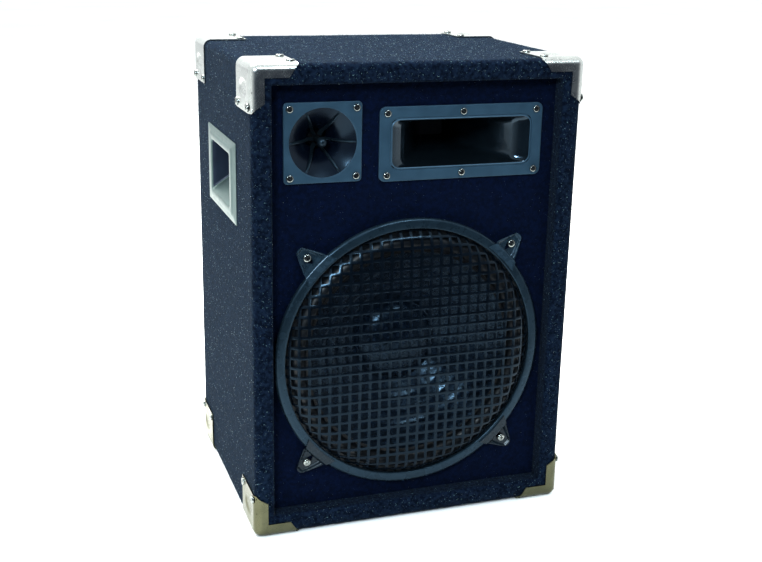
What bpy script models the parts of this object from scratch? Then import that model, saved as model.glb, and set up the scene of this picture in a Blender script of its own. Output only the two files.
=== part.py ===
"""A 12 inch three-way PA speaker cabinet, built as its separate pieces.

Frame: metres, +Z up, the front faces -Y, and the origin is the middle of the footprint, where the
bottom corner protectors stand. Blender 4.5: blender --background --python part.py
"""

import math

import bmesh
import bpy
from mathutils import Matrix, Vector

# Cabinet: sizes over the carpet.
WIDTH = 0.368
DEPTH = 0.298
HEIGHT = 0.520
FLOOR_GAP = 0.0016          # carpet above the floor: the protectors stand below it
EDGE_RADIUS = 0.008
BOARD = 0.018
CARPET = 0.002              # carpet with its glue gap
GAP = 0.0003                # clearance between touching pieces
RECESS = 0.0204             # front edges to the carpet on the baffle

# Loudspeaker places on the baffle: x, z of each centre.
TWEETER_AT = (-0.104, 0.4374)
MIDRANGE_AT = (0.0522, 0.4327)
WOOFER_AT = (-0.0025, 0.1961)

TWEETER_PLATE = 0.085
TWEETER_SCREWS = 0.072
TWEETER_MOUTH = 0.0370      # radius
TWEETER_THROAT = 0.0085     # radius
TWEETER_LENGTH = 0.034
MIDRANGE_PLATE = (0.189, 0.0804)
MIDRANGE_SCREWS = (0.172, 0.0663)
MIDRANGE_MOUTH = (0.159, 0.050)
MIDRANGE_LENGTH = 0.095
HORN_PLATE = 0.0025         # thickness of both horns' front plates
HORN_WALL = 0.0018

CUTOUT_RADIUS = 0.141       # woofer hole in the baffle
FLANGE_RADIUS = 0.153
RING_OUTER = 0.156
RING_INNER = 0.145
CLAMP_SCREW_RADIUS = 0.168  # from the woofer's centre
CLAMP_TIP_RADIUS = 0.182
CLAMP_ANGLES = (135, 45, 225, 315)

PROTECTOR_ARM = 0.0510      # along the width and the height
PROTECTOR_DEPTH = 0.0620    # along the cabinet's depth
PROTECTOR_STRIP = 0.0155    # width of the strip on the front edges
PROTECTOR_STEEL = 0.0013

HANDLE_AT = (-0.001, 0.3846)   # y, z
HANDLE_FRAME = (0.150, 0.090)
HANDLE_MOUTH = (0.098, 0.058)
HANDLE_DEPTH = 0.042

TERMINAL_AT = (0.0, 0.300)  # x, z
TERMINAL_FRAME = (0.120, 0.080)
TERMINAL_MOUTH = (0.096, 0.058)
TERMINAL_DEPTH = 0.022
JACK_X = -0.030
LEVER_XS = {"clip_lever_red": 0.006, "clip_lever_black": 0.030}
LEVER_SIZE = (0.013, 0.008, 0.022)

# Planes worked out from the sizes above.
HALF_W = WIDTH / 2
HALF_D = DEPTH / 2
BOTTOM = FLOOR_GAP
TOP = FLOOR_GAP + HEIGHT
MIDDLE_Z = (BOTTOM + TOP) / 2
BAFFLE_CARPET_Y = -HALF_D + RECESS
BAFFLE_Y = BAFFLE_CARPET_Y + CARPET
MOUNT_Y = BAFFLE_CARPET_Y - GAP          # back face of what is screwed to the baffle
HORN_FACE_Y = MOUNT_Y - HORN_PLATE
INSIDE_X = HALF_W - CARPET - BOARD       # inner face of a side panel
INSIDE_LOW = BOTTOM + CARPET + BOARD
INSIDE_HIGH = TOP - CARPET - BOARD
REAR_INSIDE_Y = HALF_D - CARPET - BOARD
OVERCUT = 0.004                          # how far a cutter runs past what it cuts

# How many sides a turned piece gets.
LARGE_ROUND = 32
MIDDLE_ROUND = 20
SMALL_ROUND = 16
SCREW_ROUND = 8

PARTS = "pa_speaker_cabinet"
CUTTERS = "cutters"


def clear_scene():
    for thing in list(bpy.data.objects):
        bpy.data.objects.remove(thing, do_unlink=True)
    for name in (PARTS, CUTTERS):
        group = bpy.data.collections.new(name)
        bpy.context.scene.collection.children.link(group)


def material(name, colour, roughness, metallic=0.0):
    """A plain Principled material, made once for each name."""
    found = bpy.data.materials.get(name)
    if found:
        return found
    made = bpy.data.materials.new(name)
    made.use_nodes = True
    shader = made.node_tree.nodes["Principled BSDF"]
    shader.inputs["Base Color"].default_value = (*colour, 1.0)
    shader.inputs["Roughness"].default_value = roughness
    shader.inputs["Metallic"].default_value = metallic
    return made


FINISHES = {
    "board": ((0.45, 0.33, 0.20), 0.8, 0.0),
    "carpet": ((0.020, 0.032, 0.045), 0.95, 0.0),
    "nickel": ((0.78, 0.78, 0.74), 0.25, 1.0),
    "handle_metal": ((0.60, 0.64, 0.60), 0.4, 0.3),
    "black_plastic": ((0.03, 0.04, 0.05), 0.4, 0.0),
    "black_paint": ((0.02, 0.025, 0.03), 0.35, 0.2),
    "cone_paper": ((0.02, 0.025, 0.03), 0.45, 0.0),
    "rubber": ((0.02, 0.02, 0.022), 0.7, 0.0),
    "ferrite": ((0.04, 0.04, 0.045), 0.7, 0.0),
    "zinc_steel": ((0.62, 0.60, 0.55), 0.4, 1.0),
    "copper": ((0.72, 0.35, 0.18), 0.35, 1.0),
    "spider_cloth": ((0.50, 0.38, 0.20), 0.9, 0.0),
    "circuit_board": ((0.05, 0.22, 0.10), 0.5, 0.0),
    "red_plastic": ((0.55, 0.03, 0.03), 0.4, 0.0),
}


def add_object(name, mesh, finish, group=PARTS):
    """Link a mesh as an object, in the parts' collection or as a hidden cutter."""
    made = bpy.data.objects.new(name, mesh)
    bpy.data.collections[group].objects.link(made)
    if group == CUTTERS:
        made.hide_render = True
        made.display_type = "WIRE"
    else:
        mesh.materials.clear()
        mesh.materials.append(material(f"{finish}_{name}", *FINISHES[finish]))
    return made


def box(name, low, high, finish=None, group=PARTS):
    """A box between two corners, its origin at its middle."""
    low, high = Vector(low), Vector(high)
    mesh = bpy.data.meshes.new(name)
    shape = bmesh.new()
    bmesh.ops.create_cube(shape, size=1.0, matrix=Matrix.Diagonal((*(high - low), 1.0)))
    shape.to_mesh(mesh)
    shape.free()
    made = add_object(name, mesh, finish, group)
    made.location = (low + high) / 2
    return made


def cutter_box(name, low, high):
    return box(name, low, high, group=CUTTERS)


def bevel(thing, radius, segments=3):
    rounding = thing.modifiers.new("round edges", "BEVEL")
    rounding.width = radius
    rounding.segments = segments
    rounding.limit_method = "ANGLE"
    rounding.angle_limit = math.radians(40)
    rounding.use_clamp_overlap = False


def boolean(thing, tool, operation="DIFFERENCE"):
    step = thing.modifiers.new(f"{operation.lower()} {tool.name}", "BOOLEAN")
    step.operation = operation
    step.solver = "EXACT"
    step.object = tool


def cylinder_cutter(name, radius, centre, length, sides):
    """A cylinder along Y for a drilled hole, its flats no nearer than the radius."""
    mesh = bpy.data.meshes.new(name)
    shape = bmesh.new()
    bmesh.ops.create_cone(
        shape, cap_ends=True, cap_tris=False, segments=sides,
        radius1=radius / math.cos(math.pi / sides), radius2=radius / math.cos(math.pi / sides),
        depth=length, matrix=Matrix.Rotation(math.radians(90), 4, "X"),
    )
    shape.to_mesh(mesh)
    shape.free()
    made = add_object(name, mesh, None, CUTTERS)
    made.location = centre
    return made


def turned(name, finish, profile, centre, closed, steps, rear=False):
    """Turn a profile of (radius, height) about the Y axis through centre.

    Height is measured towards the front, or towards the rear for a rear piece. The profile runs
    down its outer side, from its highest end to its lowest.
    """
    mesh = bpy.data.meshes.new(name)
    count = len(profile)
    edges = [(i, i + 1) for i in range(count - 1)]
    if closed:
        edges.append((count - 1, 0))
    mesh.from_pydata([(radius, 0.0, height) for radius, height in profile], edges, [])
    made = add_object(name, mesh, finish)
    made.location = centre
    made.rotation_euler = (math.radians(-90 if rear else 90), 0.0, 0.0)
    turn = made.modifiers.new("turn", "SCREW")
    turn.axis = "Z"
    turn.steps = steps
    turn.render_steps = steps
    turn.use_merge_vertices = True
    turn.merge_threshold = 0.00001
    turn.use_smooth_shade = True
    return made


def rounded_rectangle(half_width, half_height, radius, per_corner=6):
    """Points of a rounded rectangle, or of a circle when all three are equal."""
    points = []
    for quarter, (side, up) in enumerate(((1, 1), (-1, 1), (-1, -1), (1, -1))):
        for step in range(per_corner):
            angle = math.radians(90 * (quarter + (step + 0.5) / per_corner))
            points.append((
                side * (half_width - radius) + radius * math.cos(angle),
                up * (half_height - radius) + radius * math.sin(angle),
            ))
    return points


def circle(radius, per_corner=6):
    return rounded_rectangle(radius, radius, radius, per_corner)


def loft(name, finish, rings, capped):
    """Skin rings of equally many points: closed round onto the first ring, or capped at both ends."""
    mesh = bpy.data.meshes.new(name)
    shape = bmesh.new()
    rows = [[shape.verts.new(point) for point in ring] for ring in rings]
    pairs = list(zip(rows, rows[1:]))
    if capped:
        shape.faces.new(rows[0])
        shape.faces.new(list(reversed(rows[-1])))
    else:
        pairs.append((rows[-1], rows[0]))
    count = len(rings[0])
    for near, far in pairs:
        for i in range(count):
            following = (i + 1) % count
            shape.faces.new((near[i], far[i], far[following], near[following]))
    bmesh.ops.recalc_face_normals(shape, faces=shape.faces)
    shape.to_mesh(mesh)
    shape.free()
    return add_object(name, mesh, finish)


def outline_mesh(name, points, low_y, high_y):
    """A flat outline in X and Z, extruded from low_y to high_y, as a mesh."""
    curve = bpy.data.curves.new(name, "CURVE")
    curve.dimensions = "2D"
    curve.fill_mode = "BOTH"
    curve.extrude = (high_y - low_y) / 2
    line = curve.splines.new("POLY")
    line.points.add(len(points) - 1)
    for point, (x, z) in zip(line.points, points):
        point.co = (x, z, 0.0, 1.0)
    line.use_cyclic_u = True
    flat = bpy.data.objects.new(name, curve)
    bpy.data.collections[CUTTERS].objects.link(flat)
    mesh = bpy.data.meshes.new_from_object(flat.evaluated_get(bpy.context.evaluated_depsgraph_get()))
    bpy.data.objects.remove(flat)
    shape = bmesh.new()
    shape.from_mesh(mesh)
    bmesh.ops.remove_doubles(shape, verts=shape.verts, dist=0.000001)
    upright = Matrix.Rotation(math.radians(90), 4, "X")
    upright.translation = Vector((0.0, (low_y + high_y) / 2, 0.0))
    bmesh.ops.transform(shape, matrix=upright, verts=shape.verts)
    bmesh.ops.recalc_face_normals(shape, faces=shape.faces)
    shape.to_mesh(mesh)
    shape.free()
    return mesh


# ---------------------------------------------------------------- fastener places

def tweeter_screw_places():
    half = TWEETER_SCREWS / 2
    x, z = TWEETER_AT
    return [(x - half, z + half), (x + half, z + half), (x + half, z - half), (x - half, z - half)]


def midrange_screw_places():
    half_x, half_z = MIDRANGE_SCREWS[0] / 2, MIDRANGE_SCREWS[1] / 2
    x, z = MIDRANGE_AT
    return [(x + side * half_x, z + up * half_z) for up in (1, -1) for side in (-1, 0, 1)]


def clamp_bolt_places():
    x, z = WOOFER_AT
    places = []
    for angle in CLAMP_ANGLES:
        turn = math.radians(angle)
        places.append((x + CLAMP_SCREW_RADIUS * math.cos(turn), z + CLAMP_SCREW_RADIUS * math.sin(turn)))
    return places


SCREW_SHANK = 0.0017
BOLT_SHANK = 0.0022
HOLE_CLEARANCE = 0.0004
HOLE_SIDES = 6


def drill(thing, places, shank, y, length):
    """Holes along Y through a piece, one cutter for each fastener."""
    for number, (x, z) in enumerate(places, 1):
        hole = cylinder_cutter(
            f"hole_{thing.name}_{number}", shank + HOLE_CLEARANCE, (x, y, z), length, HOLE_SIDES,
        )
        boolean(thing, hole)


# ---------------------------------------------------------------- cabinet

def core_box(name, grow, radius):
    """The boards' outer shape, grown by a clearance, as a rounded cutter."""
    half_w = HALF_W - CARPET + grow
    half_d = HALF_D - CARPET + grow
    core = cutter_box(
        name,
        (-half_w, -half_d, BOTTOM + CARPET - grow),
        (half_w, half_d, TOP - CARPET + grow),
    )
    bevel(core, radius, 2)
    return core


def handle_hole(name, side):
    """The cut for a handle's cup through a side panel and its carpet."""
    half_y = HANDLE_MOUTH[0] / 2 + 0.008
    half_z = HANDLE_MOUTH[1] / 2 + 0.008
    y, z = HANDLE_AT
    inner, outer = INSIDE_X - OVERCUT, HALF_W + OVERCUT
    low_x, high_x = (inner, outer) if side > 0 else (-outer, -inner)
    return cutter_box(name, (low_x, y - half_y, z - half_z), (high_x, y + half_y, z + half_z))


def terminal_hole():
    half_x = TERMINAL_MOUTH[0] / 2 + 0.006
    half_z = TERMINAL_MOUTH[1] / 2 + 0.006
    x, z = TERMINAL_AT
    return cutter_box(
        "terminal_hole",
        (x - half_x, REAR_INSIDE_Y - OVERCUT, z - half_z),
        (x + half_x, HALF_D + OVERCUT, z + half_z),
    )


def speaker_holes(thing, y):
    """The round and square holes for the three loudspeakers through a sheet on the baffle."""
    length = 0.06
    woofer = cylinder_cutter(
        f"woofer_hole_{thing.name}", CUTOUT_RADIUS,
        (WOOFER_AT[0], y, WOOFER_AT[1]), length, 2 * SMALL_ROUND,
    )
    tweeter = cylinder_cutter(
        f"tweeter_hole_{thing.name}", TWEETER_MOUTH + 0.003,
        (TWEETER_AT[0], y, TWEETER_AT[1]), length, SMALL_ROUND,
    )
    half_x, half_z = MIDRANGE_MOUTH[0] / 2 + 0.003, MIDRANGE_MOUTH[1] / 2 + 0.003
    x, z = MIDRANGE_AT
    midrange = cutter_box(
        f"midrange_hole_{thing.name}",
        (x - half_x, y - length / 2, z - half_z),
        (x + half_x, y + length / 2, z + half_z),
    )
    for tool in (woofer, tweeter, midrange):
        boolean(thing, tool)
    drill(thing, tweeter_screw_places() + midrange_screw_places(), SCREW_SHANK, y, length)
    drill(thing, clamp_bolt_places(), BOLT_SHANK, y, length)


def make_boards(handle_holes, rear_hole):
    core = core_box("board_core", 0.0, EDGE_RADIUS - CARPET + GAP)
    outer_x = HALF_W - CARPET
    outer_y = HALF_D - CARPET
    low, high = BOTTOM + CARPET, TOP - CARPET
    inner_x = INSIDE_X - GAP
    sides = {
        "side_panel_left": ((-outer_x, -outer_y, low), (-INSIDE_X, outer_y, high)),
        "side_panel_right": ((INSIDE_X, -outer_y, low), (outer_x, outer_y, high)),
    }
    for (name, (first, second)), hole in zip(sides.items(), handle_holes):
        panel = box(name, first, second, "board")
        boolean(panel, core, "INTERSECT")
        boolean(panel, hole)
    levels = {
        "top_panel": ((-inner_x, -outer_y, INSIDE_HIGH), (inner_x, outer_y, high)),
        "bottom_panel": ((-inner_x, -outer_y, low), (inner_x, outer_y, INSIDE_LOW)),
    }
    for name, (first, second) in levels.items():
        panel = box(name, first, second, "board")
        boolean(panel, core, "INTERSECT")
    baffle = box(
        "front_baffle",
        (-inner_x, BAFFLE_Y, INSIDE_LOW + GAP),
        (inner_x, BAFFLE_Y + BOARD, INSIDE_HIGH - GAP),
        "board",
    )
    speaker_holes(baffle, BAFFLE_Y + BOARD / 2)
    rear = box(
        "rear_panel",
        (-inner_x, REAR_INSIDE_Y, INSIDE_LOW + GAP),
        (inner_x, outer_y, INSIDE_HIGH - GAP),
        "board",
    )
    boolean(rear, rear_hole)


def make_carpet(handle_holes, rear_hole):
    """The carpet wrapped round the cabinet and its front edges, and the sheet on the baffle."""
    wrap = box("carpet_wrap", (-HALF_W, -HALF_D, BOTTOM), (HALF_W, HALF_D, TOP), "carpet")
    bevel(wrap, EDGE_RADIUS, 4)
    boards = core_box("carpet_inside", GAP, EDGE_RADIUS - CARPET + 2 * GAP)
    lining_x = INSIDE_X - GAP
    lining = cutter_box(
        "recess_lining",
        (-lining_x, -HALF_D - OVERCUT, INSIDE_LOW + GAP),
        (lining_x, BAFFLE_CARPET_Y - GAP, INSIDE_HIGH - GAP),
    )
    boolean(boards, lining)
    boolean(wrap, boards)
    mouth_x = INSIDE_X - CARPET
    mouth = cutter_box(
        "recess_mouth",
        (-mouth_x, -HALF_D - OVERCUT, INSIDE_LOW + CARPET),
        (mouth_x, BAFFLE_CARPET_Y + OVERCUT, INSIDE_HIGH - CARPET),
    )
    boolean(wrap, mouth)
    for hole in (*handle_holes, rear_hole):
        boolean(wrap, hole)
    sheet = box(
        "baffle_carpet",
        (-lining_x, BAFFLE_CARPET_Y, INSIDE_LOW + GAP),
        (lining_x, BAFFLE_Y - GAP, INSIDE_HIGH - GAP),
        "carpet",
    )
    speaker_holes(sheet, BAFFLE_CARPET_Y + CARPET / 2)


# ---------------------------------------------------------------- corner protectors

def protector_strip_points():
    """The strip on the front edges, seen from the front, its two ends cut on a slant."""
    arm, strip = PROTECTOR_ARM, PROTECTOR_STRIP
    slant = 0.010
    out = OVERCUT
    return [
        (-out, out), (arm, out), (arm, 0.0), (arm - slant, -strip),
        (strip, -strip), (strip, -arm + slant), (0.0, -arm), (-out, -arm),
    ]


def make_protectors():
    """Eight pressed corners: three plates each, as a shell cut from a rounded block."""
    reach = 0.09
    over = PROTECTOR_STEEL + GAP
    outer = box("protector_block", (0, 0, -reach), (reach, reach, 0), group=CUTTERS)
    bevel(outer, EDGE_RADIUS + over, 4)
    inner_low = PROTECTOR_STEEL
    inner = box(
        "protector_inside", (inner_low, inner_low, -2 * reach),
        (2 * reach, 2 * reach, -inner_low), group=CUTTERS,
    )
    bevel(inner, EDGE_RADIUS + GAP, 4)
    boolean(outer, inner)
    bend = EDGE_RADIUS + over
    side_plate = cutter_box(
        "protector_side", (-OVERCUT, -OVERCUT, -PROTECTOR_ARM), (bend, PROTECTOR_DEPTH, OVERCUT),
    )
    top_plate = cutter_box(
        "protector_top", (-OVERCUT, -OVERCUT, -bend), (PROTECTOR_ARM, PROTECTOR_DEPTH, OVERCUT),
    )
    strip = add_object(
        "protector_front",
        outline_mesh("protector_front", protector_strip_points(), -OVERCUT, bend), None, CUTTERS,
    )
    boolean(side_plate, top_plate, "UNION")
    boolean(side_plate, strip, "UNION")
    boolean(outer, side_plate, "INTERSECT")
    bpy.context.view_layer.update()
    pressed = bpy.data.meshes.new_from_object(
        outer.evaluated_get(bpy.context.evaluated_depsgraph_get())
    )
    pressed.transform(outer.matrix_world)
    places = [
        (f"corner_{level}_{face}_{side}", x, y, z)
        for z, level in ((1, "top"), (-1, "bottom"))
        for y, face in ((-1, "front"), (1, "rear"))
        for x, side in ((-1, "left"), (1, "right"))
    ]
    for name, x, y, z in places:
        mesh = pressed.copy()
        mesh.name = name
        mesh.transform(Matrix.Diagonal((-x, -y, z, 1.0)))
        if x * y * z < 0:
            mesh.flip_normals()
        corner = add_object(name, mesh, "nickel")
        corner.location = (
            x * (HALF_W + over), y * (HALF_D + over), MIDDLE_Z + z * (HEIGHT / 2 + over),
        )


# ---------------------------------------------------------------- woofer

def make_woofer():
    """The 12 inch driver, heights measured forwards from the flange's back face."""
    centre = (WOOFER_AT[0], MOUNT_Y, WOOFER_AT[1])
    steel = 0.0018
    flange = 0.0020
    basket = turned("woofer_basket", "black_paint", [
        (FLANGE_RADIUS, flange), (FLANGE_RADIUS, 0.0), (0.1398, 0.0), (0.1360, -0.014),
        (0.1260, -0.018), (0.0620, -0.072), (0.0600, -0.080), (0.0280, -0.080),
        (0.0280, -0.080 + steel), (0.0583, -0.080 + steel), (0.0605, -0.0709),
        (0.1249, -0.0163), (0.1345, -0.0125), (0.1382, flange),
    ], centre, True, LARGE_ROUND)
    cut_windows(basket, centre)
    turned("woofer_surround", "rubber", surround_profile(flange), centre, True, LARGE_ROUND)
    gasket_back = flange + 2 * GAP + 0.0007
    turned("woofer_gasket", "rubber", [
        (0.1525, gasket_back + 0.0011), (0.1525, gasket_back),
        (0.1420, gasket_back), (0.1420, gasket_back + 0.0011),
    ], centre, True, LARGE_ROUND)
    turned("woofer_cone", "cone_paper", cone_profile(), centre, True, LARGE_ROUND)
    turned("woofer_dust_cap", "cone_paper", dust_cap_profile(), centre, False, MIDDLE_ROUND)
    turned("woofer_voice_coil", "copper", [
        (0.0201, -0.0590), (0.0201, -0.0930), (0.0196, -0.0930), (0.0196, -0.0590),
    ], centre, True, MIDDLE_ROUND)
    turned("woofer_spider", "spider_cloth", spider_profile(), centre, True, MIDDLE_ROUND)
    top_plate = -0.0803
    magnet = top_plate - 0.006 - GAP
    yoke = magnet - 0.018 - GAP
    turned("woofer_top_plate", "zinc_steel", [
        (0.052, top_plate), (0.052, top_plate - 0.006),
        (0.0214, top_plate - 0.006), (0.0214, top_plate),
    ], centre, True, MIDDLE_ROUND)
    turned("woofer_magnet", "ferrite", [
        (0.060, magnet), (0.060, magnet - 0.018), (0.030, magnet - 0.018), (0.030, magnet),
    ], centre, True, MIDDLE_ROUND)
    turned("woofer_yoke", "zinc_steel", [
        (0.0, top_plate - 0.001), (0.0184, top_plate - 0.001), (0.0184, yoke),
        (0.052, yoke), (0.052, yoke - 0.006), (0.0, yoke - 0.006),
    ], centre, False, MIDDLE_ROUND)


def cut_windows(basket, centre):
    """Eight windows between the basket's spokes."""
    windows = 8
    for number in range(windows):
        angle = 2 * math.pi * (number + 0.5) / windows
        out = Vector((math.cos(angle), 0.0, math.sin(angle)))
        across = Vector((-math.sin(angle), 0.0, math.cos(angle)))
        corners = []
        for depth in (0.014, 0.085):
            for radius, half in ((0.068, 0.016), (0.120, 0.034)):
                for side in (-1, 1):
                    place = Vector(centre) + out * radius + across * (side * half)
                    corners.append(place + Vector((0.0, depth, 0.0)))
        mesh = bpy.data.meshes.new(f"basket_window_{number + 1}")
        shape = bmesh.new()
        bmesh.ops.convex_hull(shape, input=[shape.verts.new(corner) for corner in corners])
        shape.to_mesh(mesh)
        shape.free()
        boolean(basket, add_object(mesh.name, mesh, None, CUTTERS))


def surround_profile(flange):
    """A half roll between the cone's edge and the foot glued to the flange."""
    thick = 0.0007
    base = flange + GAP
    roll_middle, roll_radius = 0.1290, 0.0085
    front = [(0.1500, base + thick), (0.1500, base)]
    turns = 4
    inner = [
        (roll_middle + (roll_radius - thick) * math.cos(math.pi * i / turns),
         base + (roll_radius - thick) * math.sin(math.pi * i / turns))
        for i in range(turns + 1)
    ]
    outer = [
        (roll_middle + roll_radius * math.cos(math.pi * i / turns),
         base + thick + (roll_radius - thick) * math.sin(math.pi * i / turns))
        for i in range(turns, -1, -1)
    ]
    foot = 0.1170
    return front + inner + [(foot, base), (foot, base + thick)] + outer


CONE_EDGE = 0.1195
CONE_NECK = 0.0206
CONE_FRONT = 0.0020
CONE_BACK = -0.0610
CONE_PAPER = 0.0009


def cone_height(radius):
    """Height of the cone's front face: a shallow curve from the neck out to the edge."""
    along = (radius - CONE_NECK) / (CONE_EDGE - CONE_NECK)
    return CONE_BACK + (CONE_FRONT - CONE_BACK) * along ** 0.92


def cone_profile():
    steps = 4
    radii = [CONE_EDGE + (CONE_NECK - CONE_EDGE) * i / steps for i in range(steps + 1)]
    front = [(radius, cone_height(radius)) for radius in radii]
    back = [(radius, height - CONE_PAPER) for radius, height in front]
    return back + list(reversed(front))


def dust_cap_profile():
    """A dome glued to the cone, open behind."""
    radius, rise, thick = 0.046, 0.017, 0.0008
    rim = cone_height(radius) + GAP + 0.0005
    steps = 3
    outer = [
        (radius * math.sin(math.pi / 2 * i / steps), rim + rise * math.cos(math.pi / 2 * i / steps))
        for i in range(steps + 1)
    ]
    inner = [
        ((radius - thick) * math.sin(math.pi / 2 * i / steps),
         rim + (rise - thick) * math.cos(math.pi / 2 * i / steps))
        for i in range(steps, -1, -1)
    ]
    return outer + inner


def spider_profile():
    """A corrugated disc from the voice coil to the basket."""
    inner, outer, thick = 0.0207, 0.0645, 0.0008
    folds = 6
    middle, swing = -0.0640, 0.0016
    line = []
    for i in range(folds + 1):
        radius = outer + (inner - outer) * i / folds
        line.append((radius, middle + swing * (-1) ** i))
    return [(r, h - thick) for r, h in line] + list(reversed(line))


# ---------------------------------------------------------------- grille

RING_BACK = 0.0046          # above the flange's back face
RING_FRONT = 0.0097
GRILLE_EDGE = RING_INNER - 0.0004
GRILLE_STEEL = 0.0012


def grille_line():
    """The sheet's front face from its rim to the middle: a steep rim and a shallow dome."""
    bend, bend_height, crown = 0.1340, 0.0162, 0.0184
    line = [(GRILLE_EDGE, 0.0060), (0.1425, 0.0092), (0.1390, 0.0135)]
    steps = 2
    for i in range(steps + 1):
        radius = bend * (1 - i / steps)
        line.append((radius, crown - (crown - bend_height) * (radius / bend) ** 2))
    return line


def make_grille():
    centre = (WOOFER_AT[0], MOUNT_Y, WOOFER_AT[1])
    front = grille_line()
    back = [(radius, height - GRILLE_STEEL) for radius, height in front]
    sheet = turned("grille_mesh", "black_paint", list(reversed(front)) + back, centre, False, LARGE_ROUND)
    punch_grille(sheet, centre)
    turned("grille_ring", "black_paint", [
        (0.1520, RING_FRONT), (0.1548, RING_FRONT - 0.0008), (RING_OUTER, RING_FRONT - 0.0026),
        (RING_OUTER, RING_BACK), (RING_INNER, RING_BACK), (RING_INNER, RING_FRONT - 0.0010),
        (0.1460, RING_FRONT),
    ], centre, True, LARGE_ROUND)
    make_clamps()


def punch_grille(sheet, centre):
    """Square openings in rows, each standing for sixteen of the real sheet's smaller ones."""
    pitch, half, reach = 0.0460, 0.0195, 0.110
    mesh = bpy.data.meshes.new("grille_punch")
    shape = bmesh.new()
    count = int(reach / pitch) + 1
    for column in range(-count, count + 1):
        for row in range(-count, count + 1):
            if math.hypot(column * pitch, row * pitch) > reach:
                continue
            place = Matrix.Translation(Vector(centre) + Vector((column * pitch, -0.016, row * pitch)))
            bmesh.ops.create_cube(
                shape, size=1.0, matrix=place @ Matrix.Diagonal((2 * half, 0.012, 2 * half, 1.0)),
            )
    shape.to_mesh(mesh)
    shape.free()
    boolean(sheet, add_object("grille_punch", mesh, None, CUTTERS))


def clamp_half_width(radius):
    """Half the width of a clamp's triangle at a distance from the woofer's centre."""
    return 0.0183 - (radius - 0.148) * 0.413


def turn_points(points, angle):
    """Carry (outwards, across) points of a clamp to x and z on the baffle."""
    cosine, sine = math.cos(math.radians(angle)), math.sin(math.radians(angle))
    return [
        (WOOFER_AT[0] + out * cosine - across * sine, WOOFER_AT[1] + out * sine + across * cosine)
        for out, across in points
    ]


def arc_points(radius, half_width, steps=4):
    """Points on a circle round the woofer, from one edge of a clamp to the other."""
    half_angle = math.asin(half_width / radius)
    return [
        (radius * math.cos(half_angle * t), radius * math.sin(half_angle * t))
        for t in (2 * i / steps - 1 for i in range(steps + 1))
    ]


def clamp_outline(inset):
    """The triangle outside the ring with its round tip, drawn in by an inset."""
    inner_radius = RING_OUTER + 0.0006 + inset
    tip = 0.0062
    middle = CLAMP_TIP_RADIUS - tip
    edge = arc_points(inner_radius, clamp_half_width(inner_radius) - 1.1 * inset)
    round_tip = [
        (middle + (tip - inset) * math.cos(math.radians(a)), (tip - inset) * math.sin(math.radians(a)))
        for a in (67, 40, 13, -13, -40, -67)
    ]
    return edge + round_tip


def make_clamps():
    """Pressed clamps: a dished triangle with raised edges and a lip over the ring."""
    base = MOUNT_Y
    rim_front = base - 0.0064
    floor_front = base - 0.0026
    lip_back = MOUNT_Y - RING_FRONT - GAP
    lip_front = lip_back - 0.0013
    for number, (angle, place) in enumerate(zip(CLAMP_ANGLES, clamp_bolt_places()), 1):
        name = f"grille_clamp_{number}"
        mesh = outline_mesh(name, turn_points(clamp_outline(0.0), angle), rim_front, base)
        clamp = add_object(name, mesh, "black_paint")
        dish = outline_mesh(
            f"{name}_dish", turn_points(clamp_outline(0.0017), angle), rim_front - OVERCUT, floor_front,
        )
        boolean(clamp, add_object(f"{name}_dish", dish, None, CUTTERS))
        drill(clamp, [place], BOLT_SHANK, base, 0.02)
        inner, outer = RING_OUTER + 0.0006, RING_OUTER + 0.0021
        lip_inner = 0.1475
        shapes = {
            "riser": (inner, outer, lip_front, base - 0.0010),
            "lip": (lip_inner, inner + 0.0008, lip_front, lip_back),
        }
        for part, (near, far, front, back) in shapes.items():
            points = arc_points(near, clamp_half_width(near) - 0.0002)
            points += list(reversed(arc_points(far, clamp_half_width(far) - 0.0002)))
            piece = outline_mesh(f"{name}_{part}", turn_points(points, angle), front, back)
            boolean(clamp, add_object(f"{name}_{part}", piece, None, CUTTERS), "UNION")


# ---------------------------------------------------------------- horns

def ring_at(points, centre, y):
    x, z = centre
    return [(x + u, y, z + v) for u, v in points]


def tweeter_radius(depth):
    """Inner radius of the tweeter's bell at a depth behind its face."""
    left = max(0.0, 1 - depth / TWEETER_LENGTH)
    return TWEETER_THROAT + (TWEETER_MOUTH - TWEETER_THROAT) * left ** 1.8


def make_tweeter():
    per_corner = 5
    half = TWEETER_PLATE / 2
    plate = rounded_rectangle(half, half, 0.004, per_corner)
    steps = 4
    depths = [TWEETER_LENGTH * i / steps for i in range(steps + 1)]
    rings = [ring_at(plate, TWEETER_AT, HORN_FACE_Y), ring_at(plate, TWEETER_AT, MOUNT_Y)]
    outside = [(max(depth, HORN_PLATE), tweeter_radius(depth) + HORN_WALL) for depth in depths]
    outside = [(depth, radius) for depth, radius in outside if depth > HORN_PLATE]
    outside.insert(0, (HORN_PLATE, TWEETER_MOUTH + 0.0010))
    for depth, radius in outside:
        rings.append(ring_at(circle(radius, per_corner), TWEETER_AT, HORN_FACE_Y + depth))
    for depth in reversed(depths):
        rings.append(ring_at(circle(tweeter_radius(depth), per_corner), TWEETER_AT, HORN_FACE_Y + depth))
    bell = loft("tweeter_horn", "black_plastic", rings, False)
    drill(bell, tweeter_screw_places(), SCREW_SHANK, HORN_FACE_Y, 0.02)
    make_phase_plug()
    back = HORN_FACE_Y + TWEETER_LENGTH + GAP
    turned("tweeter_driver", "black_plastic", [
        (0.0, 0.0), (0.0270, 0.0), (0.0280, -0.0020), (0.0280, -0.0160), (0.0200, -0.0185),
        (0.0, -0.0185),
    ], (TWEETER_AT[0], back, TWEETER_AT[1]), False, MIDDLE_ROUND)


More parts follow.
